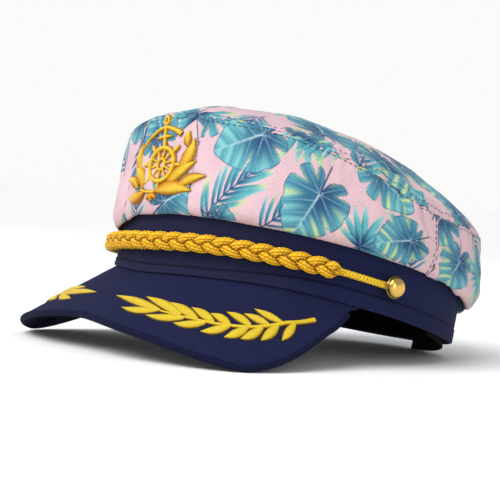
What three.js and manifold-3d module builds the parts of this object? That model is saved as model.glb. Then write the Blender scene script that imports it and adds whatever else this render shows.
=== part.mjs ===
import * as THREE from 'three';
import { mergeVertices } from 'three/addons/utils/BufferGeometryUtils.js';
import Module from 'manifold-3d';

const wasm = await Module();
wasm.setup();

// A captain hat with a printed cloth crown, a twill band, an arched peak, a gold braid and emblem.
// Lengths are in millimetres and angles in degrees. While it is shaped, the hat's rim lies level:
// the front is toward -Y, the wearer's left toward +X, and angles run from the front to the left.
const GAP = 0.3;

const BAND_WIDTH = 176.6;
const BAND_LENGTH = 201.4;
const BAND_HEIGHT = 33;
const BAND_WALL = 2;
const RIM_ARCH = 5;

const SWEATBAND_HEIGHT = 31;
const SWEATBAND_WALL = 1.5;
const SWEATBAND_INSET = 0.8;

const TAB_HEIGHT = 22;
const TAB_DROP = 5.5;
const TAB_WALL = 1.2;
const TAB_START_ANGLE = 112;
const TAB_END_ANGLE = 174;

const CROWN_WALL = 2;
const CROWN_SIDE = 51;
const CROWN_DOME = 68;
const DOME_POWER = 2.15;
const OVERHANG = 10;
const SAG = 15;
const FOLD = 3.2;
const SLUMP = 7.2;
const SLUMP_OUT = 1.8;
const DROOP = 10.8;
const DROOP_IN = 0.8;
const CROWN_TURN = 3;
const FRONT_SEAM_ANGLE = 16;
const FRONT_LEAN_ANGLE = 1.6;
const BACK_SEAM_ANGLE = 95;

const PEAK_REACH = 58.8;
const PEAK_HALF_ANGLE = 77.3;
const PEAK_SKEW = 3.6;
const PEAK_WALL = 3;
const PIPING = 3;
const PIPING_END = 0.94;

const BRAID_HEIGHT = 10;
const BRAID_DEPTH = 7;
const BRAID_END_ANGLE = 68;
const CORD = 3.5;
const BUTTON_ANGLE = 85.5;
const BUTTON = 12;
const BUTTON_RISE = 4.6;
const BUTTON_SHANK_WIDTH = 3.4;
const BUTTON_LEVEL = 18;

const EMBLEM_LEVEL = 55;
const EMBLEM_SHIFT = 5.2;
const EMBLEM_THICK = 1.4;
const WHEEL = 19.6;
const WHEEL_RIM = 2.4;
const WHEEL_HUB = 6;
const SPOKE = 1.8;
const SPOKE_REACH = 14.2;
const SPOKES = 8;
const ANCHOR_TOP = 25.6;
const ANCHOR_STOCK = 11.5;
const SHACKLE = 4.6;
const SPRAY_WIDTH = 30.5;
const SPRAY_HEIGHT = 37;
const SPRAY_LEAF = 6.4;

const LAUREL_THICK = 1.1;
const LAUREL_LEAF = 17;
const LAUREL_LEAF_WIDTH = 5.4;
const LAUREL_STEM = 2.6;
const LAUREL_PAIRS = 8;

// How far the lower edge of the band rises, as a share of RIM_ARCH, by angle from the front.
const RIM_ROWS = [
  { angle: 0, arch: 0 },
  { angle: 25, arch: 0.45 },
  { angle: 55, arch: 1 },
  { angle: 85, arch: 0.75 },
  { angle: 110, arch: 0.3 },
  { angle: 130, arch: 0 },
  { angle: 180, arch: 0 },
];

// The side of the crown by angle from the front. sag is a share of SAG, fold, belly and seam are
// shares of OVERHANG at the lowest fold, halfway up and at the top seam, height of CROWN_SIDE.
const CROWN_ROWS = [
  { angle: 0, sag: 0.21, fold: 0.36, belly: 0.76, seam: 0.5, height: 1 },
  { angle: 20, sag: 0.1, fold: 0.36, belly: 0.76, seam: 0.5, height: 0.985 },
  { angle: 38, sag: 0.05, fold: 0.36, belly: 0.74, seam: 0.5, height: 0.97 },
  { angle: 55, sag: 0.04, fold: 0.36, belly: 0.7, seam: 0.44, height: 0.9 },
  { angle: 71, sag: 0.08, fold: 0.37, belly: 0.7, seam: 0.38, height: 0.77 },
  { angle: 86, sag: 0.18, fold: 0.38, belly: 0.74, seam: 0.38, height: 0.63 },
  { angle: 102, sag: 0.33, fold: 0.4, belly: 0.78, seam: 0.42, height: 0.54 },
  { angle: 120, sag: 0.58, fold: 0.42, belly: 0.82, seam: 0.44, height: 0.54 },
  { angle: 145, sag: 0.88, fold: 0.47, belly: 0.84, seam: 0.43, height: 0.56 },
  { angle: 180, sag: 1, fold: 0.6, belly: 0.98, seam: 0.4, height: 0.59 },
];

// Where the soft crown sinks at the front of the wearer's right side, as a share of SLUMP.
const SLUMP_ROWS = [
  { angle: -95, sink: 0 },
  { angle: -65, sink: 0.75 },
  { angle: -42, sink: 1 },
  { angle: -22, sink: 0.85 },
  { angle: -10, sink: 0.56 },
  { angle: 0, sink: 0.2 },
  { angle: 12, sink: 0 },
];

// How much lower the crown hangs over the band on that side, as a share of DROOP.
const DROOP_ROWS = [
  { angle: -105, hang: 0 },
  { angle: -85, hang: 0.42 },
  { angle: -68, hang: 0.74 },
  { angle: -55, hang: 0.93 },
  { angle: -40, hang: 1 },
  { angle: -25, hang: 0.87 },
  { angle: -15, hang: 0.62 },
  { angle: -8, hang: 0.26 },
  { angle: 2, hang: 0.05 },
  { angle: 12, hang: 0 },
];

// The peak by share of its half angle. reach is a share of PEAK_REACH, turn is the way that the
// cloth runs out, from straight ahead, and fall is its slope below level.
const PEAK_ROWS = [
  { share: 0, reach: 0.705, turn: 0, fall: 40.5 },
  { share: 0.3, reach: 0.85, turn: 16.8, fall: 41.4 },
  { share: 0.6, reach: 1, turn: 42.7, fall: 45.3 },
  { share: 0.85, reach: 0.31, turn: 77.8, fall: 53.2 },
  { share: 1, reach: 0, turn: 107.1, fall: 61.4 },
];

// The middle of the braid and of its cords, as a share of BAND_HEIGHT, by angle from the front.
const BRAID_ROWS = [
  { angle: -86, level: 0.545 },
  { angle: -68, level: 0.53 },
  { angle: -50, level: 0.47 },
  { angle: -30, level: 0.43 },
  { angle: 0, level: 0.47 },
  { angle: 30, level: 0.57 },
  { angle: 50, level: 0.595 },
  { angle: 68, level: 0.58 },
  { angle: 86, level: 0.545 },
];

// The laurel stem on the peak: share of the half angle, and share of the way out to the edge.
const STEM_ROWS = [
  { at: 0, share: 0.14, out: 0.63 },
  { at: 0.3, share: 0.34, out: 0.645 },
  { at: 0.55, share: 0.5, out: 0.615 },
  { at: 0.8, share: 0.66, out: 0.53 },
  { at: 1, share: 0.785, out: 0.57 },
];

// The leaves of one spray of the emblem. across and up are shares of SPRAY_WIDTH and SPRAY_HEIGHT
// for the leaf's foot, measured from the foot of the spray, lean is from upright, long is a share.
const SPRAY_ROWS = [
  { across: 0.1, up: 0.05, lean: 84, long: 0.58, wide: 1 },
  { across: 0.52, up: 0.12, lean: 62, long: 0.42, wide: 0.72 },
  { across: 0.4, up: 0.13, lean: 44, long: 0.6, wide: 0.95 },
  { across: 0.52, up: 0.36, lean: 14, long: 0.52, wide: 0.9 },
  { across: 0.56, up: 0.76, lean: -6, long: 0.26, wide: 0.6 },
];

const degrees = Math.PI / 180;
const mix = (a, b, share) => a + (b - a) * share;

// A smooth curve through the rows of one column, which never overshoots them.
function follow(rows, key, column) {
  const x = rows.map((row) => row[key]);
  const y = rows.map((row) => row[column]);
  const step = x.slice(1).map((value, i) => value - x[i]);
  const slope = step.map((width, i) => (y[i + 1] - y[i]) / width);
  const lean = y.map((value, i) => {
    if (i === 0 || i === y.length - 1 || slope[i - 1] * slope[i] <= 0) {
      return 0;
    }
    return 2 / (1 / slope[i - 1] + 1 / slope[i]);
  });
  return (at) => {
    const inside = Math.min(Math.max(at, x[0]), x[x.length - 1]);
    let i = 0;
    while (i < step.length - 1 && inside > x[i + 1]) {
      i += 1;
    }
    const t = (inside - x[i]) / step[i];
    const rise = (3 - 2 * t) * t * t;
    const start = t * (1 - t) * (1 - t) * step[i] * lean[i];
    const end = t * t * (t - 1) * step[i] * lean[i + 1];
    return mix(y[i], y[i + 1], rise) + start + end;
  };
}

// An angle as the same one between -180 and 180.
function signed(angle) {
  return ((angle % 360) + 540) % 360 - 180;
}

const rimShare = follow(RIM_ROWS, 'angle', 'arch');
const braidShare = follow(BRAID_ROWS, 'angle', 'level');
const slumpShare = follow(SLUMP_ROWS, 'angle', 'sink');
const droopShare = follow(DROOP_ROWS, 'angle', 'hang');
const crownShare = {
  sag: follow(CROWN_ROWS, 'angle', 'sag'),
  fold: follow(CROWN_ROWS, 'angle', 'fold'),
  belly: follow(CROWN_ROWS, 'angle', 'belly'),
  seam: follow(CROWN_ROWS, 'angle', 'seam'),
  height: follow(CROWN_ROWS, 'angle', 'height'),
};
const peakShare = {
  reach: follow(PEAK_ROWS, 'share', 'reach'),
  turn: follow(PEAK_ROWS, 'share', 'turn'),
  fall: follow(PEAK_ROWS, 'share', 'fall'),
};
const stemShare = {
  share: follow(STEM_ROWS, 'at', 'share'),
  out: follow(STEM_ROWS, 'at', 'out'),
};

const rimLevel = (angle) => RIM_ARCH * rimShare(Math.abs(signed(angle)));
const braidLevel = (angle) => BAND_HEIGHT * braidShare(angle);

// The outward direction of the band's oval, level.
function outward(angle) {
  const a = angle * degrees;
  return new THREE.Vector3(Math.sin(a) / BAND_WIDTH, -Math.cos(a) / BAND_LENGTH, 0).normalize();
}

// A point at an angle round the hat, a distance out from the band's outer face, and a level.
function around(angle, out, level) {
  const a = angle * degrees;
  const foot = new THREE.Vector3(Math.sin(a) * BAND_WIDTH / 2, -Math.cos(a) * BAND_LENGTH / 2, 0);
  foot.addScaledVector(outward(angle), out);
  foot.z = level;
  return foot;
}

// How many millimetres of the oval one degree covers.
function perDegree(angle, out) {
  const before = around(angle - 0.5, out, 0);
  return before.distanceTo(around(angle + 0.5, out, 0));
}

// A body from triangles given by their corners. Triangles with two equal corners are left out.
function bodyOf(triangles) {
  const numbers = [];
  for (const corners of triangles) {
    const [a, b, c] = corners;
    const thin = 1e-5;
    if (a.distanceTo(b) < thin || b.distanceTo(c) < thin || c.distanceTo(a) < thin) {
      continue;
    }
    for (const point of corners) {
      numbers.push(point.x, point.y, point.z);
    }
  }
  const geometry = new THREE.BufferGeometry();
  geometry.setAttribute('position', new THREE.Float32BufferAttribute(numbers, 3));
  return mergeVertices(geometry, 1e-5);
}

function addQuad(triangles, a, b, c, d) {
  triangles.push([a, b, c], [a, c, d]);
}

// A sheet with thickness between two grids of points. Seen from outside, rows of the front grid run
// to the right and the points of a row run up. A round sheet joins its last row to its first.
function sheet(front, back, round = false) {
  const triangles = [];
  const rows = front.length;
  const last = front[0].length - 1;
  const steps = round ? rows : rows - 1;
  for (let j = 0; j < steps; j += 1) {
    const k = (j + 1) % rows;
    for (let i = 0; i < last; i += 1) {
      addQuad(triangles, front[j][i], front[k][i], front[k][i + 1], front[j][i + 1]);
      addQuad(triangles, back[j][i], back[j][i + 1], back[k][i + 1], back[k][i]);
    }
    addQuad(triangles, front[j][0], back[j][0], back[k][0], front[k][0]);
    addQuad(triangles, front[j][last], front[k][last], back[k][last], back[j][last]);
  }
  if (!round) {
    const end = rows - 1;
    for (let i = 0; i < last; i += 1) {
      addQuad(triangles, front[0][i], front[0][i + 1], back[0][i + 1], back[0][i]);
      addQuad(triangles, front[end][i], back[end][i], back[end][i + 1], front[end][i + 1]);
    }
  }
  return bodyOf(triangles);
}

// A solid through closed loops of points, with flat ends. Seen from its start, looking along it, the
// loops run anticlockwise.
function loft(loops) {
  const triangles = [];
  const count = loops[0].length;
  for (let j = 0; j < loops.length - 1; j += 1) {
    for (let i = 0; i < count; i += 1) {
      const k = (i + 1) % count;
      addQuad(triangles, loops[j][i], loops[j + 1][i], loops[j + 1][k], loops[j][k]);
    }
  }
  const start = loops[0];
  const end = loops[loops.length - 1];
  for (let i = 1; i < count - 1; i += 1) {
    triangles.push([start[0], start[i], start[i + 1]], [end[0], end[i + 1], end[i]]);
  }
  return bodyOf(triangles);
}

// A rod of oval section along a list of places, each with a point and the directions of its section.
function rod(places, width, height, sides) {
  const loops = places.map(({ point, side, up }) => {
    const loop = [];
    for (let i = 0; i < sides; i += 1) {
      const a = (i + 0.5) * 2 * Math.PI / sides;
      const corner = point.clone();
      corner.addScaledVector(side, Math.cos(a) * width / 2);
      corner.addScaledVector(up, Math.sin(a) * height / 2);
      loop.push(corner);
    }
    return loop;
  });
  return loft(loops);
}

function spread(from, to, steps) {
  return Array.from({ length: steps + 1 }, (unused, i) => mix(from, to, i / steps));
}

// A ring or part of a ring of upright cloth, from its low edge to its high edge.
function strip(angles, outer, wall, low, high, round) {
  const front = angles.map((angle) => [low(angle), high(angle)].map((z) => around(angle, outer, z)));
  const back = angles.map((angle) => [low(angle), high(angle)].map((z) => around(angle, outer - wall, z)));
  return sheet(front, back, round);
}

const ROUND_STEPS = 60;
const fullTurn = spread(0, 360, ROUND_STEPS).slice(0, -1);
const bandGeometry = strip(fullTurn, 0, BAND_WALL, rimLevel, () => BAND_HEIGHT, true);

const sweatbandOut = -BAND_WALL - GAP;
const sweatbandLow = (angle) => rimLevel(angle) + SWEATBAND_INSET;
const sweatbandGeometry = strip(
  fullTurn,
  sweatbandOut,
  SWEATBAND_WALL,
  sweatbandLow,
  () => SWEATBAND_HEIGHT,
  true,
);

// The loose end of the size closure lies inside the sweatband and hangs lowest at the back centre.
const tabOut = sweatbandOut - SWEATBAND_WALL - GAP;
const tabShare = (angle) => (angle - TAB_START_ANGLE) / (TAB_END_ANGLE - TAB_START_ANGLE);
const tabLow = (angle) => -TAB_DROP * Math.sin(90 * degrees * tabShare(angle));
const tabGeometry = strip(
  spread(TAB_START_ANGLE, TAB_END_ANGLE, 9),
  tabOut,
  TAB_WALL,
  tabLow,
  () => TAB_HEIGHT,
  false,
);

// The outside of the crown in section: over the band's top edge, down to the fold, up to the seam.
function crownSection(angle) {
  const a = Math.abs(signed(angle));
  const start = BAND_HEIGHT + GAP;
  const hung = droopShare(signed(angle));
  const fold = start - SAG * crownShare.sag(a) - DROOP * hung;
  const sunk = slumpShare(signed(angle));
  const seam = BAND_HEIGHT + CROWN_SIDE * crownShare.height(a) - SLUMP * sunk;
  const seamOut = OVERHANG * crownShare.seam(a) + SLUMP_OUT * sunk;
  const foldOut = OVERHANG * crownShare.fold(a) - DROOP_IN * hung ** 2;
  const clear = 2 * GAP;
  return new THREE.CatmullRomCurve3([
    new THREE.Vector3(-BAND_WALL, 0, start),
    new THREE.Vector3(clear, 0, start),
    new THREE.Vector3(Math.max(clear, foldOut - FOLD), 0, mix(start, fold, 0.55)),
    new THREE.Vector3(foldOut, 0, fold),
    new THREE.Vector3(foldOut + FOLD, 0, fold + FOLD * 1.2),
    new THREE.Vector3(OVERHANG * crownShare.belly(a), 0, mix(fold, seam, 0.45)),
    new THREE.Vector3(seamOut, 0, seam),
  ], false, 'centripetal');
}

// Places along the section, closer together round the fold.
const SECTION_SPANS = [1, 1, 2, 2, 2, 2];
const sectionPlaces = [0];
SECTION_SPANS.forEach((steps, span) => {
  for (let i = 1; i <= steps; i += 1) {
    sectionPlaces.push((span + i / steps) / SECTION_SPANS.length);
  }
});

// A point on the crown's side, moved out from the cloth by a distance.
function crownPoint(angle, place, proud) {
  const section = crownSection(angle);
  const point = section.getPoint(place);
  const along = section.getTangent(place);
  return around(angle, point.x + along.z * proud, point.z - along.x * proud);
}

function crownPanel(from, to, steps) {
  const front = [];
  const back = [];
  for (let j = 0; j <= steps; j += 1) {
    const angles = sectionPlaces.map((place) => {
      const left = from(place) + GAP / 2 / perDegree(from(place), 0);
      const right = to(place) - GAP / 2 / perDegree(to(place), 0);
      return mix(left, right, j / steps);
    });
    front.push(sectionPlaces.map((place, i) => crownPoint(angles[i], place, 0)));
    back.push(sectionPlaces.map((place, i) => crownPoint(angles[i], place, -CROWN_WALL)));
  }
  return sheet(front, back);
}

// The four upright seams of the crown. The front two lean in toward the top.
const frontSeam = (side) => (place) => (
  CROWN_TURN + side * (FRONT_SEAM_ANGLE + FRONT_LEAN_ANGLE * (1 - 2 * place))
);
const backSeam = (side) => () => CROWN_TURN + side * BACK_SEAM_ANGLE;
const behind = (seam) => (place) => seam(place) + 360;

// The domed top starts at the seam and rises to the middle.
function crownTop(steps, rings) {
  const middle = new THREE.Vector3(0, 0, BAND_HEIGHT + CROWN_DOME);
  const surface = (angle, share) => {
    const section = crownSection(angle);
    const end = section.getPoint(1);
    const along = section.getTangent(1);
    const edge = around(angle, end.x + along.x * GAP, end.z + along.z * GAP);
    const point = edge.clone().lerp(middle, 1 - share);
    point.z = mix(middle.z, edge.z, share ** DOME_POWER);
    return point;
  };
  const edgeBack = (angle) => {
    const section = crownSection(angle);
    const end = section.getPoint(1);
    const along = section.getTangent(1);
    const out = end.x + along.x * GAP - along.z * CROWN_WALL;
    return around(angle, out, end.z + along.z * GAP + along.x * CROWN_WALL);
  };
  const shares = spread(1, 0, rings);
  const front = [];
  const back = [];
  for (let j = 0; j < steps; j += 1) {
    const angle = j * 360 / steps;
    front.push(shares.map((share) => surface(angle, share)));
    back.push(shares.map((share, i) => {
      if (i === 0) {
        return edgeBack(angle);
      }
      const point = surface(angle, share);
      if (i === rings) {
        return point.clone().setZ(point.z - CROWN_WALL);
      }
      const round = surface(angle + 1, share).sub(surface(angle - 1, share));
      const inward = surface(angle, share - 0.02).sub(surface(angle, share + 0.02));
      const up = round.cross(inward).normalize();
      return point.clone().addScaledVector(up, -CROWN_WALL);
    }));
  }
  return sheet(front, back, true);
}

// The upper face of the peak. share runs across it from -1 to 1 and out from its seam at 0 to 1.
function peakPoint(share, out) {
  const side = Math.sign(share);
  const s = Math.min(Math.abs(share), 1);
  const turn = side * peakShare.turn(s) * degrees;
  const fall = peakShare.fall(s) * degrees;
  const angle = share * PEAK_HALF_ANGLE;
  const reach = out * PEAK_REACH * peakShare.reach(s);
  const skew = share < 0 ? out * PEAK_SKEW * Math.sin(Math.PI * s) ** 2 : 0;
  const point = around(angle, -BAND_WALL / 2, rimLevel(angle) - GAP);
  point.x += (reach * Math.cos(fall) + skew) * Math.sin(turn);
  point.y -= (reach * Math.cos(fall) + skew) * Math.cos(turn);
  point.z -= reach * Math.sin(fall);
  return point;
}

// The way straight out of the peak's upper face.
function peakUp(share, out) {
  const s = Math.min(Math.max(share, -0.93), 0.93);
  const o = Math.min(Math.max(out, 0.05), 0.95);
  const across = peakPoint(s + 0.02, o).sub(peakPoint(s - 0.02, o));
  const ahead = peakPoint(s, o + 0.03).sub(peakPoint(s, o - 0.03));
  return ahead.cross(across).normalize();
}

// Shares from -1 to 1 that cut the peak's edge into equal lengths.
function evenShares(steps) {
  const fine = spread(-1, 1, 400);
  const run = [0];
  for (let i = 1; i < fine.length; i += 1) {
    run.push(run[i - 1] + peakPoint(fine[i], 1).distanceTo(peakPoint(fine[i - 1], 1)));
  }
  let i = 0;
  return spread(0, run[run.length - 1], steps).map((length) => {
    while (i < run.length - 2 && run[i + 1] < length) {
      i += 1;
    }
    return mix(fine[i], fine[i + 1], (length - run[i]) / (run[i + 1] - run[i]));
  });
}

function peakGrid(steps, rows, below) {
  return evenShares(steps).map((share) => spread(1, 0, rows).map((out) => (
    peakPoint(share, out).addScaledVector(peakUp(share, out), -below)
  )));
}

const PEAK_STEPS = 40;
const peakGeometry = sheet(peakGrid(PEAK_STEPS, 4, 0), peakGrid(PEAK_STEPS, 4, PEAK_WALL));

const pipingShares = evenShares(PEAK_STEPS).filter((share) => Math.abs(share) < PIPING_END);
const pipingPlaces = pipingShares.map((share) => {
  const up = peakUp(share, 1);
  const along = peakPoint(share + 0.01, 1).sub(peakPoint(share - 0.01, 1)).normalize();
  const ahead = new THREE.Vector3().crossVectors(along, up).normalize();
  const point = peakPoint(share, 1).addScaledVector(up, -PEAK_WALL / 2);
  point.addScaledVector(ahead, PIPING / 2 + GAP);
  return { point, side: ahead, up };
});
const pipingGeometry = rod(pipingPlaces, PIPING, PIPING, 6);

// The braid and its cords lie round the band.
function roundBand(from, to, steps, thick) {
  return spread(from, to, steps).map((angle) => ({
    point: around(angle, GAP * 1.5 + thick / 2, braidLevel(angle)),
    side: outward(angle),
    up: new THREE.Vector3(0, 0, 1),
  }));
}

const braidPlaces = roundBand(-BRAID_END_ANGLE, BRAID_END_ANGLE, 40, BRAID_DEPTH);
const braidGeometry = rod(braidPlaces, BRAID_DEPTH, BRAID_HEIGHT, 8);

function cordGeometry(side) {
  const start = BRAID_END_ANGLE + GAP / perDegree(BRAID_END_ANGLE, CORD);
  const stop = BUTTON_ANGLE - (BUTTON_SHANK_WIDTH / 2 + GAP) / perDegree(BUTTON_ANGLE, CORD);
  const [from, to] = side > 0 ? [start, stop] : [-stop, -start];
  return rod(roundBand(from, to, 8, CORD), CORD, CORD, 8);
}

// A domed button on a short shank, with its axis along +Y of the lathe.
function buttonGeometry() {
  const under = CORD + GAP * 3;
  const profile = [
    new THREE.Vector2(0, 0),
    new THREE.Vector2(BUTTON_SHANK_WIDTH / 2, 0),
    new THREE.Vector2(BUTTON_SHANK_WIDTH / 2, under),
    new THREE.Vector2(BUTTON * 0.46, under),
  ];
  for (const share of spread(0.12, 1, 5)) {
    const a = share * Math.PI / 2;
    profile.push(new THREE.Vector2(Math.cos(a) * BUTTON / 2, under + Math.sin(a) * BUTTON_RISE));
  }
  profile[profile.length - 1].x = 0;
  const geometry = new THREE.LatheGeometry(profile, 16);
  geometry.deleteAttribute('normal');
  geometry.deleteAttribute('uv');
  return mergeVertices(geometry, 1e-5);
}

function placeButton(mesh, side) {
  const angle = side * BUTTON_ANGLE;
  mesh.position.copy(around(angle, GAP * 1.5, BUTTON_LEVEL));
  mesh.quaternion.setFromUnitVectors(new THREE.Vector3(0, 1, 0), outward(angle));
  mesh.updateMatrix();
}

// Joining bodies of one piece.
function solidOf(geometry) {
  const vertProperties = new Float32Array(geometry.attributes.position.array);
  const triVerts = new Uint32Array(geometry.index.array);
  return new wasm.Manifold(new wasm.Mesh({ numProp: 3, vertProperties, triVerts }));
}

function joined(geometries) {
  const whole = geometries.map(solidOf).reduce((sum, next) => sum.add(next));
  const mesh = whole.getMesh();
  const geometry = new THREE.BufferGeometry();
  geometry.setAttribute('position', new THREE.BufferAttribute(new Float32Array(mesh.vertProperties), 3));
  geometry.setIndex(new THREE.BufferAttribute(new Uint32Array(mesh.triVerts), 1));
  return geometry;
}

// A place on the front panel: across and up from the emblem's middle, and out from the cloth.
function onFront(across, up, proud) {
  const angle = CROWN_TURN + (across + EMBLEM_SHIFT) / perDegree(CROWN_TURN, OVERHANG * crownShare.belly(0));
  const level = EMBLEM_LEVEL + up;
  const section = crownSection(angle);
  let low = 3 / 6;
  let high = 1;
  for (let i = 0; i < 24; i += 1) {
    const half = (low + high) / 2;
    if (section.getPoint(half).z < level) {
      low = half;
    } else {
      high = half;
    }
  }
  return crownPoint(angle, low, proud);
}

// A flat shape with two sides, given as a list of left and right points, laid on a surface.
function ribbon(pairs, place, low, high) {
  const front = pairs.map(([left, right]) => [place(left, high), place(right, high)]);
  const back = pairs.map(([left, right]) => [place(left, low), place(right, low)]);
  return sheet(front, back);
}

// A leaf from its foot at a lean from upright, positive toward +across.
function leafPairs(foot, lean, long, wide) {
  const a = lean * degrees;
  const widths = [0.3, 1, 0.8, 0.05];
  return widths.map((share, i) => {
    const far = long * i / (widths.length - 1);
    const half = wide * share / 2;
    const x = foot[0] + Math.sin(a) * far;
    const y = foot[1] + Math.cos(a) * far;
    const reach = [Math.cos(a) * half, -Math.sin(a) * half];
    return [[x + reach[0], y + reach[1]], [x - reach[0], y - reach[1]]];
  });
}

function barPairs(from, to, wide, steps) {
  const away = [to[0] - from[0], to[1] - from[1]];
  const size = Math.hypot(...away);
  const reach = [away[1] / size * wide / 2, -away[0] / size * wide / 2];
  return spread(0, 1, steps).map((share) => {
    const x = from[0] + away[0] * share;
    const y = from[1] + away[1] * share;
    return [[x + reach[0], y + reach[1]], [x - reach[0], y - reach[1]]];
  });
}

// A flat ring on a surface.
function ringOn(place, middle, outer, inner, low, high, steps) {
  const loop = (radius, proud) => spread(0, 360, steps).slice(0, -1).map((angle) => {
    const a = angle * degrees;
    return place([middle[0] + Math.sin(a) * radius, middle[1] + Math.cos(a) * radius], proud);
  });
  const outside = [loop(outer, low), loop(outer, high)];
  const inside = [loop(inner, low), loop(inner, high)];
  const front = outside[0].map((point, i) => [outside[1][i], outside[0][i]]);
  const back = inside[0].map((point, i) => [inside[1][i], inside[0][i]]);
  return sheet(front, back, true);
}

function emblemGeometry() {
  const place = (point, proud) => onFront(point[0], point[1], proud);
  const low = GAP * 1.4;
  const high = low + EMBLEM_THICK;
  const parts = [];
  const rim = WHEEL / 2;
  parts.push(ringOn(place, [0, 0], rim, rim - WHEEL_RIM, low, high, 16));
  parts.push(ringOn(place, [0, 0], WHEEL_HUB / 2, WHEEL_HUB / 2 - SPOKE * 0.75, low, high, 8));
  for (let i = 0; i < SPOKES; i += 1) {
    const a = i * 2 * Math.PI / SPOKES;
    const inner = WHEEL_HUB / 2 - SPOKE * 0.35;
    const from = [Math.sin(a) * inner, Math.cos(a) * inner];
    const to = [Math.sin(a) * SPOKE_REACH, Math.cos(a) * SPOKE_REACH];
    parts.push(ribbon(barPairs(from, to, SPOKE, 1), place, low + 0.05, high - 0.2));
  }
  const stockUp = ANCHOR_TOP - SHACKLE - 1;
  const shank = barPairs([0, rim - 0.6], [0, stockUp + 1], SPOKE * 1.2, 2);
  parts.push(ribbon(shank, place, low + 0.1, high - 0.1));
  parts.push(ringOn(
    place,
    [0, ANCHOR_TOP - SHACKLE / 2],
    SHACKLE / 2,
    SHACKLE / 2 - SPOKE * 0.8,
    low,
    high + 0.1,
    8,
  ));
  for (const side of [-1, 1]) {
    const tip = [side * ANCHOR_STOCK, stockUp - ANCHOR_STOCK * 0.28];
    const arm = barPairs([-side * 0.6, stockUp + 0.2], tip, SPOKE * 1.3, 3);
    parts.push(ribbon(arm, place, low + 0.15, high));
    const ball = leafPairs([tip[0], tip[1] - SPOKE * 1.1], 0, SPOKE * 2.2, SPOKE * 1.9);
    parts.push(ribbon(ball, place, low + 0.2, high + 0.1));
    const foot = [0, -SPRAY_HEIGHT / 2 + 0.2];
    SPRAY_ROWS.forEach((row, i) => {
      const start = [foot[0] + side * row.across * SPRAY_WIDTH, foot[1] + row.up * SPRAY_HEIGHT];
      const leaf = leafPairs(start, side * row.lean, row.long * SPRAY_WIDTH, row.wide * SPRAY_LEAF);
      parts.push(ribbon(leaf, place, low + 0.02 * i, high + 0.05 * i));
    });
    const bends = [
      foot,
      [side * 0.42 * SPRAY_WIDTH, foot[1] + 0.14 * SPRAY_HEIGHT],
      [side * 0.54 * SPRAY_WIDTH, foot[1] + 0.4 * SPRAY_HEIGHT],
      [side * 0.57 * SPRAY_WIDTH, foot[1] + 0.78 * SPRAY_HEIGHT],
    ];
    for (let i = 0; i < bends.length - 1; i += 1) {
      parts.push(ribbon(barPairs(bends[i], bends[i + 1], SPOKE, 2), place, low + 0.25, high - 0.15));
    }
  }
  const tie = barPairs([0, -SPRAY_HEIGHT / 2 - 1.2], [0, -SPOKE_REACH + SPOKE / 2], SPOKE * 2, 2);
  parts.push(ribbon(tie, place, low + 0.3, high + 0.15));
  return joined(parts);
}

// A laurel spray on one side of the peak: a stem with a pair of leaves at each step.
function laurelGeometry(side) {
  const low = GAP * 1.4;
  const high = low + LAUREL_THICK;
  const stemAt = (at) => [stemShare.share(at), stemShare.out(at)];
  const local = (at) => {
    const [share, out] = stemAt(at);
    const here = peakPoint(share, out);
    const across = peakPoint(share + 0.01, out).sub(here).length() * 100;
    const ahead = peakPoint(share, out + 0.01).sub(here).length() * 100;
    return { share, out, across, ahead };
  };
  const place = (at) => {
    const { share, out, across, ahead } = local(at);
    return (point, proud) => {
      const s = share + point[0] / across;
      const o = out + point[1] / ahead;
      return peakPoint(side * s, o).addScaledVector(peakUp(side * s, o), proud);
    };
  };
  const faced = (pairs) => (side > 0 ? pairs.map(([left, right]) => [right, left]) : pairs);
  const parts = [];
  const stemSteps = spread(0, 1, 12);
  const stemFront = [];
  const stemBack = [];
  for (const at of stemSteps) {
    const here = place(at);
    const half = LAUREL_STEM / 2 * mix(0.5, 1, at);
    const edges = [[0, side * half], [0, -side * half]];
    stemFront.push(edges.map((point) => here(point, high - 0.1)));
    stemBack.push(edges.map((point) => here(point, low + 0.1)));
  }
  parts.push(sheet(stemFront, stemBack));
  for (let i = 0; i < LAUREL_PAIRS; i += 1) {
    const at = mix(0.04, 0.93, i / (LAUREL_PAIRS - 1));
    const long = LAUREL_LEAF * mix(1.2, 0.88, i / (LAUREL_PAIRS - 1));
    const inward = mix(-80, -60, i / (LAUREL_PAIRS - 1));
    const lean = mix(-74, -24, i / (LAUREL_PAIRS - 1));
    const here = place(at);
    const inner = leafPairs([0, 0], 180 - inward, long, LAUREL_LEAF_WIDTH);
    const outer = leafPairs([0, 0], lean, long, LAUREL_LEAF_WIDTH);
    parts.push(ribbon(faced(inner), here, low + 0.04 * (i % 2), high + 0.05 * (i % 3)));
    parts.push(ribbon(faced(outer), here, low + 0.06, high + 0.03 + 0.05 * (i % 3)));
  }
  const tip = leafPairs([0, 0], -84, LAUREL_LEAF * 1.1, LAUREL_LEAF_WIDTH);
  parts.push(ribbon(faced(tip), place(0), low + 0.08, high + 0.12));
  return joined(parts);
}

const navyTwill = { color: 0x1c2046, roughness: 0.85, metalness: 0 };
const blackTwill = { color: 0x0c0c10, roughness: 0.9, metalness: 0 };
const printCloth = { color: 0xd9b3c4, roughness: 0.8, metalness: 0 };
const goldThread = { color: 0xd9a520, roughness: 0.45, metalness: 0 };
const yellowThread = { color: 0xe0bb2c, roughness: 0.45, metalness: 0 };
const goldMetal = { color: 0xd8b45a, roughness: 0.2, metalness: 1 };

const hat = new THREE.Group();

function add(name, geometry, look) {
  geometry.computeVertexNormals();
  const mesh = new THREE.Mesh(geometry, new THREE.MeshStandardMaterial(look));
  mesh.name = name;
  hat.add(mesh);
  return mesh;
}

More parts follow.
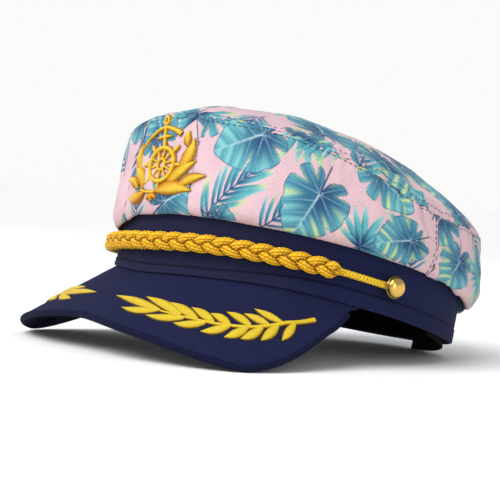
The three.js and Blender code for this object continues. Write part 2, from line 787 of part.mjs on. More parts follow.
add('band', bandGeometry, navyTwill);
add('sweatband', sweatbandGeometry, blackTwill);
add('back_tab', tabGeometry, blackTwill);
add('crown_front', crownPanel(frontSeam(-1), frontSeam(1), 6), printCloth);
add('crown_left', crownPanel(frontSeam(1), backSeam(1), 14), printCloth);
add('crown_right', crownPanel(backSeam(-1), frontSeam(-1), 14), printCloth);
add('crown_back', crownPanel(backSeam(1), behind(backSeam(-1)), 26), printCloth);
add('crown_top', crownTop(ROUND_STEPS, 5), printCloth);
add('peak', peakGeometry, navyTwill);
add('peak_piping', pipingGeometry, navyTwill);
add('peak_laurel_left', laurelGeometry(1), yellowThread);
add('peak_laurel_right', laurelGeometry(-1), yellowThread);
add('emblem', emblemGeometry(), goldThread);
add('braid', braidGeometry, goldThread);
add('cord_end_left', cordGeometry(1), goldThread);
add('cord_end_right', cordGeometry(-1), goldThread);
placeButton(add('button_left', buttonGeometry(), goldMetal), 1);
placeButton(add('button_right', buttonGeometry(), goldMetal), -1);

// At rest the hat stands on the two lobes of its peak and on the loose end at its back. The rim
// leans back until the front and the back of the hat reach equally low.
function lowest(names, tilt) {
  const turn = new THREE.Matrix4().makeRotationX(-tilt);
  let low = Infinity;
  for (const name of names) {
    const mesh = hat.getObjectByName(name);
    const matrix = turn.clone().multiply(mesh.matrix);
    const position = mesh.geometry.attributes.position;
    for (let i = 0; i < position.count; i += 1) {
      low = Math.min(low, new THREE.Vector3().fromBufferAttribute(position, i).applyMatrix4(matrix).z);
    }
  }
  return low;
}

let least = 0;
let most = 40 * degrees;
for (let i = 0; i < 40; i += 1) {
  const half = (least + most) / 2;
  if (lowest(['peak', 'peak_piping'], half) < lowest(['band', 'back_tab'], half)) {
    least = half;
  } else {
    most = half;
  }
}
hat.rotation.x = -least;

// The origin is on the surface that the hat stands on, under the middle of its box.
const standing = new THREE.Group();
standing.add(hat);
standing.updateMatrixWorld(true);
const box = new THREE.Box3().setFromObject(hat, true);
hat.position.set(-(box.min.x + box.max.x) / 2, -(box.min.y + box.max.y) / 2, -box.min.z);
standing.updateMatrixWorld(true);

export default standing;
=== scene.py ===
import math
import bpy
import numpy as np
from mathutils import Matrix


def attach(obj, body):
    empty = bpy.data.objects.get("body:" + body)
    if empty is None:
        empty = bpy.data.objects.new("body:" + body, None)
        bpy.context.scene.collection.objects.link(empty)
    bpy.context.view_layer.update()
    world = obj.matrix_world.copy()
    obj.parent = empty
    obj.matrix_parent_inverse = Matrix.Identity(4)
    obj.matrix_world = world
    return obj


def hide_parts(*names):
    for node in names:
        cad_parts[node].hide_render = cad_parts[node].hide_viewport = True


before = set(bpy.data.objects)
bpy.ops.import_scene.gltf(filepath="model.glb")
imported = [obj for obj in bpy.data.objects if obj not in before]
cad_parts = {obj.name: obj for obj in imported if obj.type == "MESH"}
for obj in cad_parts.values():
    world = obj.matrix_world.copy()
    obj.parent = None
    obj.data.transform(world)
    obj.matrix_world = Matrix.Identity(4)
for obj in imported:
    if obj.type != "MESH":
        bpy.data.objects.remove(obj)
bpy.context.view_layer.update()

# A captain hat: a printed cloth crown, a navy twill band and peak, gold braid and embroidery.
# Shapes are worked out in millimetres with the rim level, then leaned back and put in place.
MM = 0.001
TILT = -0.18324538965712012
SHIFT = (0.9770355224609375, 10.980286005475648, 22.915308666644012)

GAP = 0.3
BAND_WIDTH = 176.6
BAND_LENGTH = 201.4
BAND_HEIGHT = 33.0
BAND_WALL = 2.0
RIM_ARCH = 5.0
SWEATBAND_HEIGHT = 31.0
SWEATBAND_WALL = 1.5
SWEATBAND_INSET = 0.8
TAB_HEIGHT = 22.0
TAB_DROP = 5.5
TAB_WALL = 1.2
TAB_START_ANGLE = 112.0
TAB_END_ANGLE = 174.0
CROWN_WALL = 2.0
CROWN_SIDE = 51.0
CROWN_DOME = 68.0
DOME_POWER = 2.15
OVERHANG = 10.0
SAG = 15.0
FOLD = 3.2
SLUMP = 7.2
SLUMP_OUT = 1.8
DROOP = 10.8
DROOP_IN = 0.8
CROWN_TURN = 3.0
FRONT_SEAM_ANGLE = 16.0
FRONT_LEAN_ANGLE = 1.6
BACK_SEAM_ANGLE = 95.0
PEAK_REACH = 58.8
PEAK_HALF_ANGLE = 77.3
PEAK_SKEW = 3.6
PEAK_WALL = 3.0
PIPING = 3.0
PIPING_END = 0.94
BRAID_DEPTH = 7.0
BRAID_END_ANGLE = 68.0
CORD = 3.5
BUTTON_ANGLE = 85.5
BUTTON = 12.0
BUTTON_RISE = 4.6
BUTTON_LEVEL = 18.0
STITCH_PITCH = 3.2
STITCH_LONG = 2.2
STITCH_WIDE = 0.55
STITCH_INSET = 2.4

# Values of the looks alone: pitches and sizes in mm, and counts.
RIPPLE_WAVES = 9
BAND_DEGREE = 1.66
TOP_DEGREE = 1.72
TOP_RADIUS = 92.0
PUCKER = 7.8
SIDE_PUCKER = 7.0
TRIM_OUT = GAP * 1.5
STRAND = 4.7
STRAND_PITCH = 29.0
KNIT_COLUMNS = 8
KNIT_PITCH = 1.8
PLAIT_PITCH = 2.1
BUTTON_STEPS = 72
SATIN_ACROSS = 13
LIGHT_AIM = np.array([0.0, 0.0, 0.07])
UPRIGHT = np.array([0.0, 0.0, 1.0])

# Small helpers
def to_world(points):
    x, y, z = np.moveaxis(points, -1, 0)
    c, s = math.cos(TILT), math.sin(TILT)
    return (np.stack([x, c * y - s * z, s * y + c * z], -1) + SHIFT) * MM


def to_linear(colour):
    colour = np.clip(colour, 0.0, 1.0)
    return np.where(colour <= 0.04045, colour / 12.92, ((colour + 0.055) / 1.055) ** 2.4)


def rgb(red, green, blue):
    return np.array([red, green, blue]) / 255.0


def linear(red, green, blue):
    return tuple(to_linear(rgb(red, green, blue))) + (1.0,)


def mix(a, b, share):
    return a + (b - a) * share


def step(value, low, high):
    t = np.clip((value - low) / (high - low), 0.0, 1.0)
    return t * t * (3.0 - 2.0 * t)


def bell(value, wide):
    """1 where value is 0, nearly 0 from twice wide on."""
    return np.exp(-((value / wide) ** 2))


def unit(vectors):
    return vectors / np.maximum(np.linalg.norm(vectors, axis=-1, keepdims=True), 1e-12)


def run_along(points):
    """Length along a line up to each of its points."""
    return np.concatenate([[0], np.cumsum(np.linalg.norm(np.diff(points, axis=0), axis=1))])


def full_turn(count):
    return np.linspace(0, 2 * math.pi, count, endpoint=False)


def spread(*values):
    return np.broadcast_arrays(*[np.asarray(value, float) for value in values])


def ripple(x, y, size, seed):
    """Smooth unevenness between about -1 and 1, of features about size across."""
    rng = np.random.default_rng(seed)
    total = np.zeros(np.broadcast(x, y).shape)
    for _ in range(RIPPLE_WAVES):
        turn = rng.uniform(0, 2 * math.pi)
        scale = 2 * math.pi / (size * rng.uniform(0.7, 1.6))
        total += np.sin((x * math.cos(turn) + y * math.sin(turn)) * scale + rng.uniform(0, 6.3))
    return total / math.sqrt(RIPPLE_WAVES) * 0.8


# Camera and light
scene = bpy.context.scene
scene.view_settings.view_transform = "Standard"

camera_data = bpy.data.cameras.new("camera")
camera_data.lens = 115.667
camera_data.sensor_width = 36.0
camera_data.clip_start = 0.05
camera_data.clip_end = 60.0
camera = bpy.data.objects.new("camera", camera_data)
scene.collection.objects.link(camera)
camera.matrix_world = Matrix((
    (0.6188117, -0.0688966, 0.7825122, 0.689531),
    (0.7827125, -0.0303552, -0.6216427, -0.563063),
    (0.0665824, 0.9971619, 0.0351421, 0.085159),
    (0.0, 0.0, 0.0, 1.0),
))
scene.camera = camera


def area_light(name, place, size, power):
    data = bpy.data.lights.new(name, "AREA")
    data.shape = "RECTANGLE"
    data.size, data.size_y = size
    data.energy = power
    lamp = bpy.data.objects.new(name, data)
    scene.collection.objects.link(lamp)
    back = unit(np.array(place) - LIGHT_AIM)
    right = unit(np.cross(UPRIGHT, back))
    rows = np.column_stack([right, np.cross(back, right), back, place])
    lamp.matrix_world = Matrix([*rows.tolist(), (0.0, 0.0, 0.0, 1.0)])


area_light("key", (-0.15, -1.3, 1.1), (0.7, 0.7), 5.6)
area_light("side", (1.4, -0.5, 0.5), (0.5, 0.9), 3.2)
area_light("back", (-0.8, 1.1, 0.9), (0.8, 0.8), 2.5)

# A wide soft sun keeps the floor evenly bright out to its far edge.
sun_data = bpy.data.lights.new("sun", "SUN")
sun_data.energy = 2.05
sun_data.angle = math.radians(50)
sun = bpy.data.objects.new("sun", sun_data)
scene.collection.objects.link(sun)
sun.rotation_euler = (math.radians(40), 0.0, math.radians(8))

# The studio is white round the horizon and softer overhead.
world = bpy.data.worlds.new("studio")
scene.world = world
world.use_nodes = True
sky = world.node_tree.nodes
toward = sky.new("ShaderNodeTexCoord")
parts = sky.new("ShaderNodeSeparateXYZ")
ramp = sky.new("ShaderNodeValToRGB")
world.node_tree.links.new(toward.outputs["Generated"], parts.inputs[0])
world.node_tree.links.new(parts.outputs["Z"], ramp.inputs["Fac"])
world.node_tree.links.new(ramp.outputs["Color"], sky["Background"].inputs["Color"])
ramp.color_ramp.elements[0].position = 0.16
ramp.color_ramp.elements[0].color = (0.96, 0.96, 0.955, 1.0)
ramp.color_ramp.elements[1].position = 0.42
ramp.color_ramp.elements[1].color = (0.42, 0.43, 0.45, 1.0)


# Meshes
class Piece:
    """Grids of points, gathered into one mesh."""

    def __init__(self):
        self.points, self.uv, self.colour, self.faces = [], [], [], []
        self.count = 0

    def grid(self, points, uv=None, colour=1.0, wrap=(False, False), flip=False):
        points = np.asarray(points, float)
        rows, cols = points.shape[:2]
        index = np.arange(rows * cols).reshape(rows, cols) + self.count
        if wrap[0]:
            index = np.vstack([index, index[:1]])
        if wrap[1]:
            index = np.hstack([index, index[:, :1]])
        quads = np.stack([index[:-1, :-1], index[1:, :-1], index[1:, 1:], index[:-1, 1:]], -1)
        quads = quads.reshape(-1, 4)
        if flip:
            quads = quads[:, ::-1]
        if uv is None:
            uv = np.stack(np.meshgrid(np.arange(rows), np.arange(cols), indexing="ij"), -1)
        self.points.append(points.reshape(-1, 3))
        self.uv.append(np.asarray(uv, float).reshape(-1, 2))
        self.colour.append(np.broadcast_to(colour, (rows, cols, 3)).reshape(-1, 3))
        self.faces.append(quads)
        self.count += rows * cols

    def make(self, name, material, nodes):
        points = to_world(np.concatenate(self.points))
        uv = np.concatenate(self.uv)
        faces = np.concatenate(self.faces).astype(np.int32)
        mesh = bpy.data.meshes.new(name)
        mesh.vertices.add(len(points))
        mesh.vertices.foreach_set("co", points.astype(np.float32).ravel())
        mesh.loops.add(faces.size)
        mesh.loops.foreach_set("vertex_index", faces.ravel())
        mesh.polygons.add(len(faces))
        mesh.polygons.foreach_set("loop_start", np.arange(0, faces.size, 4, dtype=np.int32))
        mesh.polygons.foreach_set("use_smooth", np.ones(len(faces), bool))
        layer = mesh.uv_layers.new(name="cloth")
        layer.data.foreach_set("uv", uv[faces.ravel()].astype(np.float32).ravel())
        paint = mesh.color_attributes.new("paint", "FLOAT_COLOR", "POINT")
        rgba = np.ones((len(points), 4), np.float32)
        rgba[:, :3] = to_linear(np.concatenate(self.colour))
        paint.data.foreach_set("color", rgba.ravel())
        mesh.update(calc_edges=True)
        mesh.validate()
        mesh.materials.append(material)
        piece = bpy.data.objects.new(name, mesh)
        scene.collection.objects.link(piece)
        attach(piece, "root")
        if nodes:
            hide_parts(*nodes)


# The hat's forms
def follow(*rows):
    """A smooth curve through rows of place and value, without overshoot."""
    x, y = np.array(rows, float).T
    width = np.diff(x)
    slope = np.diff(y) / width
    lean = np.zeros(len(x))
    for i in range(1, len(x) - 1):
        if slope[i - 1] * slope[i] > 0:
            lean[i] = 2 / (1 / slope[i - 1] + 1 / slope[i])

    def at(value):
        value = np.clip(value, x[0], x[-1])
        i = np.clip(np.searchsorted(x, value, side="left") - 1, 0, len(width) - 1)
        t = (value - x[i]) / width[i]
        rise = (3 - 2 * t) * t * t
        start = t * (1 - t) * (1 - t) * width[i] * lean[i]
        end = t * t * (t - 1) * width[i] * lean[i + 1]
        return mix(y[i], y[i + 1], rise) + start + end

    return at


rim_share = follow((0, 0), (25, 0.45), (55, 1), (85, 0.75), (110, 0.3), (130, 0), (180, 0))
CROWN_ROWS = [
    (0, 0.21, 0.36, 0.76, 0.5, 1),
    (20, 0.1, 0.36, 0.76, 0.5, 0.985),
    (38, 0.05, 0.36, 0.74, 0.5, 0.97),
    (55, 0.04, 0.36, 0.7, 0.44, 0.9),
    (71, 0.08, 0.37, 0.7, 0.38, 0.77),
    (86, 0.18, 0.38, 0.74, 0.38, 0.63),
    (102, 0.33, 0.4, 0.78, 0.42, 0.54),
    (120, 0.58, 0.42, 0.82, 0.44, 0.54),
    (145, 0.88, 0.47, 0.84, 0.43, 0.56),
    (180, 1, 0.6, 0.98, 0.4, 0.59),
]
crown_share = [follow(*[(row[0], row[k]) for row in CROWN_ROWS]) for k in range(1, 6)]
slump_share = follow((-95, 0), (-65, 0.75), (-42, 1), (-22, 0.85), (-10, 0.56), (0, 0.2), (12, 0))
droop_share = follow(
    (-105, 0), (-85, 0.42), (-68, 0.74), (-55, 0.93), (-40, 1), (-25, 0.87), (-15, 0.62), (-8, 0.26),
    (2, 0.05), (12, 0),
)
peak_reach = follow((0, 0.705), (0.3, 0.85), (0.6, 1), (0.85, 0.31), (1, 0))
peak_turn = follow((0, 0), (0.3, 16.8), (0.6, 42.7), (0.85, 77.8), (1, 107.1))
peak_fall = follow((0, 40.5), (0.3, 41.4), (0.6, 45.3), (0.85, 53.2), (1, 61.4))
braid_share = follow(
    (-86, 0.545), (-68, 0.53), (-50, 0.47), (-30, 0.43), (0, 0.47),
    (30, 0.57), (50, 0.595), (68, 0.58), (86, 0.545),
)


def signed(angle):
    return (np.asarray(angle, float) + 180.0) % 360.0 - 180.0


def rim_level(angle):
    return RIM_ARCH * rim_share(np.abs(signed(angle)))


def outward(angle):
    a = np.radians(angle)
    return unit(np.stack([np.sin(a) / BAND_WIDTH, -np.cos(a) / BAND_LENGTH, np.zeros_like(a)], -1))


def around(angle, out, level):
    angle, out, level = spread(angle, out, level)
    a = np.radians(angle)
    foot = np.stack([np.sin(a) * BAND_WIDTH / 2, -np.cos(a) * BAND_LENGTH / 2, level], -1)
    return foot + outward(angle) * out[..., None]


def per_degree(angle, out):
    return np.linalg.norm(around(angle + 0.5, out, 0) - around(angle - 0.5, out, 0), axis=-1)


def crown_controls(angle):
    turned = signed(angle)
    sag, fold_share, belly, seam_share, height = [share(np.abs(turned)) for share in crown_share]
    start = np.full_like(turned, BAND_HEIGHT + GAP)
    hung = droop_share(turned)
    fold = start - SAG * sag - DROOP * hung
    seam = BAND_HEIGHT + CROWN_SIDE * height - SLUMP * slump_share(turned)
    out = OVERHANG * fold_share - DROOP_IN * hung ** 2
    clear = 2 * GAP
    points = [
        (np.full_like(turned, -BAND_WALL), start),
        (np.full_like(turned, clear), start),
        (np.maximum(clear, out - FOLD), mix(start, fold, 0.55)),
        (out, fold),
        (out + FOLD, fold + FOLD * 1.2),
        (OVERHANG * belly, mix(fold, seam, 0.45)),
        (OVERHANG * seam_share + SLUMP_OUT * slump_share(turned), seam),
    ]
    return np.stack([np.stack(point, -1) for point in points], -2)


def curve_at(points, place):
    """The centripetal curve through seven points, at places from 0 to 1."""
    last = points.shape[-2] - 1
    spot = np.clip(place, 0, 1) * last
    i = np.minimum(spot.astype(int), last - 1)
    w = (spot - i)[..., None]
    padded = np.concatenate([
        2 * points[..., :1, :] - points[..., 1:2, :],
        points,
        2 * points[..., -1:, :] - points[..., -2:-1, :],
    ], -2)

    def pick(k):
        return np.take_along_axis(padded, (i + k)[..., None, None], -2)[..., 0, :]

    p0, p1, p2, p3 = [pick(k) for k in range(4)]
    d0, d1, d2 = [
        np.maximum(np.sum((a - b) ** 2, -1, keepdims=True) ** 0.25, 1e-4)
        for a, b in ((p0, p1), (p1, p2), (p2, p3))
    ]
    t1 = ((p1 - p0) / d0 - (p2 - p0) / (d0 + d1) + (p2 - p1) / d1) * d1
    t2 = ((p2 - p1) / d1 - (p3 - p1) / (d1 + d2) + (p3 - p2) / d2) * d1
    c2 = -3 * p1 + 3 * p2 - 2 * t1 - t2
    c3 = 2 * p1 - 2 * p2 + t1 + t2
    return p1 + t1 * w + c2 * w ** 2 + c3 * w ** 3


def crown_point(angle, place, proud=0.0):
    angle, place = spread(angle, place)
    controls = crown_controls(angle)
    here = curve_at(controls, place)
    along = unit(
        curve_at(controls, np.minimum(place + 1e-4, 1)) - curve_at(controls, np.maximum(place - 1e-4, 0))
    )
    return around(angle, here[..., 0] + along[..., 1] * proud, here[..., 1] - along[..., 0] * proud)


def top_point(angle, share):
    angle, share = spread(angle, share)
    controls = crown_controls(angle)
    one = np.ones_like(angle)
    end = curve_at(controls, one)
    along = unit(end - curve_at(controls, one - 1e-4))
    edge = around(angle, end[..., 0] + along[..., 0] * GAP, end[..., 1] + along[..., 1] * GAP)
    point = edge * share[..., None]
    middle = BAND_HEIGHT + CROWN_DOME
    point[..., 2] = mix(middle, edge[..., 2], share ** DOME_POWER)
    return point


def peak_point(share, out):
    share, out = spread(share, out)
    s = np.minimum(np.abs(share), 1)
    turn = np.radians(np.sign(share) * peak_turn(s))
    fall = np.radians(peak_fall(s))
    angle = share * PEAK_HALF_ANGLE
    reach = out * PEAK_REACH * peak_reach(s)
    point = around(angle, -BAND_WALL / 2, rim_level(angle) - GAP)
    skew = np.where(share < 0, out * PEAK_SKEW * np.sin(math.pi * s) ** 2, 0.0)
    level = reach * np.cos(fall) + skew
    return point + np.stack([level * np.sin(turn), -level * np.cos(turn), -reach * np.sin(fall)], -1)


def peak_up(share, out):
    s = np.clip(share, -0.93, 0.93)
    o = np.clip(out, 0.05, 0.95)
    across = peak_point(s + 0.02, o) - peak_point(s - 0.02, o)
    ahead = peak_point(s, o + 0.03) - peak_point(s, o - 0.03)
    return unit(np.cross(ahead, across))


def normals_of(points, wrap=False):
    if wrap:
        rows = np.roll(points, -1, 0) - np.roll(points, 1, 0)
    else:
        rows = np.gradient(points, axis=0)
    cols = np.gradient(points, axis=1)
    return unit(np.cross(rows, cols))


# Materials
class Nodes:
    """A short way to write a node material."""

    def __init__(self, name):
        self.material = bpy.data.materials.new(name)
        self.material.use_nodes = True
        self.tree = self.material.node_tree
        self.shader = self.tree.nodes["Principled BSDF"]

    def add(self, kind, values=None, links=None, **settings):
        node = self.tree.nodes.new(kind)
        for key, value in settings.items():
            setattr(node, key, value)
        for key, value in (values or {}).items():
            node.inputs[key].default_value = value
        for key, source in (links or {}).items():
            self.tree.links.new(source, node.inputs[key])
        return node

    def set(self, **values):
        for key, value in values.items():
            self.shader.inputs[key.replace("_", " ")].default_value = value

    def link(self, source, key):
        self.tree.links.new(source, self.shader.inputs[key])

    def uv(self):
        return self.add("ShaderNodeUVMap", uv_map="cloth").outputs["UV"]

    def paint(self):
        return self.add("ShaderNodeVertexColor", layer_name="paint").outputs["Color"]

    def lines(self, vector, pitch, turn, distortion):
        """Parallel lines pitch apart in mm, turned by degrees."""
        mapped = self.add(
            "ShaderNodeMapping",
            {"Rotation": (0, 0, math.radians(turn))},
            {"Vector": vector},
        )
        return self.add(
            "ShaderNodeTexWave",
            {
                "Scale": 0.314159 / pitch,
                "Distortion": distortion,
                "Detail": 1.0,
                "Detail Scale": 1.5,
            },
            {"Vector": mapped.outputs["Vector"]},
            wave_type="BANDS",
            bands_direction="X",
            wave_profile="SIN",
        ).outputs["Fac"]

    def noise(self, vector, scale, detail=3.0):
        return self.add(
            "ShaderNodeTexNoise",
            {"Scale": scale, "Detail": detail, "Roughness": 0.55},
            {"Vector": vector},
        ).outputs["Fac"]

    def math(self, kind, a, b):
        node = self.add("ShaderNodeMath", operation=kind)
        for i, value in enumerate((a, b)):
            if isinstance(value, (int, float)):
                node.inputs[i].default_value = value
            else:
                self.tree.links.new(value, node.inputs[i])
        return node.outputs[0]

    def weigh(self, a, share, b, other):
        return self.math("ADD", self.math("MULTIPLY", a, share), self.math("MULTIPLY", b, other))

    def multiply(self, colour, by, share=1.0):
        return self.add(
            "ShaderNodeMix", {0: share}, {6: colour, 7: by}, data_type="RGBA", blend_type="MULTIPLY"
        ).outputs[2]

    def ramp(self, factor, *stops):
        node = self.add("ShaderNodeValToRGB", links={"Fac": factor})
        elements = node.color_ramp.elements
        for element, (position, colour) in zip(elements, (stops[0], stops[-1])):
            element.position, element.color = position, colour
        for position, colour in stops[1:-1]:
            elements.new(position).color = colour
        return node.outputs["Color"]

    def bump(self, height, distance, strength):
        values = {"Strength": strength, "Distance": distance}
        self.link(self.add("ShaderNodeBump", values, {"Height": height}).outputs["Normal"], "Normal")


WHITE = (1.0, 1.0, 1.0, 1.0)


def print_cloth():
    n = Nodes("print_cloth")
    uv = n.uv()
    weft = n.lines(uv, 1.0, 16, 0.4)
    yarn = n.lines(uv, 0.55, -62, 0.8)
    worn = n.noise(uv, 0.12)
    colour = n.multiply(n.paint(), n.ramp(weft, (0.0, (0.64, 0.66, 0.68, 1)), (0.7, WHITE)), 0.8)
    colour = n.multiply(colour, n.ramp(yarn, (0.0, (0.86, 0.86, 0.88, 1)), (1.0, WHITE)), 0.4)
    colour = n.multiply(colour, n.ramp(worn, (0.3, (0.94, 0.93, 0.95, 1)), (0.7, WHITE)), 0.7)
    n.link(colour, "Base Color")
    n.bump(n.weigh(weft, 0.7, yarn, 0.3), 0.00022, 0.75)
    n.set(Roughness=0.88, Sheen_Weight=0.06, Sheen_Roughness=0.5, Specular_IOR_Level=0.12)
    return n.material


def twill(name, dark, light, pitch, turn, sheen):
    n = Nodes(name)
    uv = n.uv()
    wale = n.lines(uv, pitch, turn, 0.4)
    yarn = n.lines(uv, pitch * 0.52, -8, 0.8)
    worn = n.noise(uv, 0.06, 4.0)
    fibre = n.noise(uv, 1.7, 2.0)
    weave = n.math("MULTIPLY", wale, n.math("ADD", n.math("MULTIPLY", yarn, 0.5), 0.5))
    colour = n.ramp(weave, (0.05, dark), (0.95, light))
    colour = n.multiply(colour, n.ramp(worn, (0.3, (0.82, 0.82, 0.86, 1)), (0.72, WHITE)), 0.8)
    n.link(n.multiply(colour, n.paint()), "Base Color")
    n.bump(n.weigh(weave, 0.8, fibre, 0.2), 0.0002, 0.8)
    n.set(Roughness=0.85, Sheen_Weight=sheen, Sheen_Roughness=0.4, Sheen_Tint=(0.45, 0.5, 0.7, 1))
    n.set(Specular_IOR_Level=0.1)
    return n.material


def thread(name, deep, body, bright, pitch=1.0, turn=0.0):
    """Satin-stitched thread: lines across the stitched form, with light on the raised part."""
    n = Nodes(name)
    uv = n.uv()
    strand = n.lines(uv, pitch, turn, 0.35)
    fibre = n.noise(uv, 0.5, 2.0)
    colour = n.ramp(n.weigh(strand, 0.6, fibre, 0.4), (0.1, deep), (0.42, body), (0.95, bright))
    n.link(n.multiply(colour, n.paint()), "Base Color")
    n.bump(strand, 0.0002, 0.9)
    n.set(Roughness=0.4, Sheen_Weight=0.0, Specular_IOR_Level=0.5, Specular_Tint=(1.0, 0.82, 0.4, 1))
    return n.material


def brass():
    n = Nodes("brass")
    place = n.add("ShaderNodeTexCoord").outputs["Object"]
    cloud = n.noise(place, 90.0, 4.0)
    colour = n.ramp(cloud, (0.3, linear(206, 158, 70)), (0.7, linear(236, 198, 108)))
    n.link(n.multiply(colour, n.paint()), "Base Color")
    n.link(n.math("ADD", n.math("MULTIPLY", cloud, 0.16), 0.1), "Roughness")
    n.bump(n.noise(place, 900.0, 2.0), 0.00003, 0.3)
    n.set(Metallic=1.0)
    return n.material


PRINT = print_cloth()
NAVY = twill("navy_twill", linear(13, 15, 42), linear(41, 46, 87), 1.0, 32.0, 0.03)
BAND_TWILL = twill("band_twill", linear(14, 15, 38), linear(54, 56, 94), 1.05, 24.0, 0.03)
NAVY_EDGE = twill("navy_edge", linear(9, 11, 34), linear(30, 34, 70), 0.7, 20.0, 0.02)
BLACK = twill("black_lining", linear(6, 6, 8), linear(20, 20, 24), 0.8, 45.0, 0.03)
YELLOW_THREAD = thread("yellow_thread", linear(180, 150, 12), linear(220, 192, 30), linear(240, 222, 84))
GOLD_THREAD = thread("gold_thread", linear(160, 112, 8), linear(230, 188, 30), linear(250, 226, 92))
CORD_THREAD = thread("gold_cord", linear(238, 178, 8), linear(254, 210, 26), linear(255, 234, 90), 0.6, 30.0)
BRASS = brass()
SEAM_THREAD = thread("seam_thread", linear(62, 74, 108), linear(104, 118, 152), linear(142, 154, 182), 0.4)

# Floor
floor_material = Nodes("floor")
floor_place = floor_material.add("ShaderNodeTexCoord").outputs["Object"]
floor_tone = floor_material.ramp(
    floor_material.noise(floor_place, 3.0), (0.3, (0.98, 0.98, 0.975, 1)), (0.7, (0.99, 0.99, 0.985, 1)),
)
floor_material.link(floor_tone, "Base Color")
floor_material.set(Roughness=0.9)
floor_mesh = bpy.data.meshes.new("floor")
floor_mesh.from_pydata(
    [(-30, -30, 0), (30, -30, 0), (30, 30, 0), (-30, 30, 0)], [], [(0, 1, 2, 3)]
)
floor_mesh.materials.append(floor_material.material)
floor = bpy.data.objects.new("floor", floor_mesh)
scene.collection.objects.link(floor)


# The print
PINK = rgb(228, 192, 198)
TEAL = rgb(94, 180, 184)
AQUA = rgb(148, 214, 208)
BLUE = rgb(54, 122, 154)
DEEP = rgb(30, 54, 100)
LIME = rgb(222, 230, 150)
PALE = rgb(206, 230, 230)
# Painted shade: the panels' cut edges inside the seams are pink darkened to 0.72.
SHADED_EDGE_PINK = 0.72 * PINK
HEART_EDGE = follow(
    (0, 1.0), (14, 0.9), (30, 0.8), (55, 0.72), (85, 0.66), (115, 0.6),
    (140, 0.53), (158, 0.42), (171, 0.22), (180, 0.05),
)


def stain(colour, other, share):
    return mix(colour, other, share[:, None])


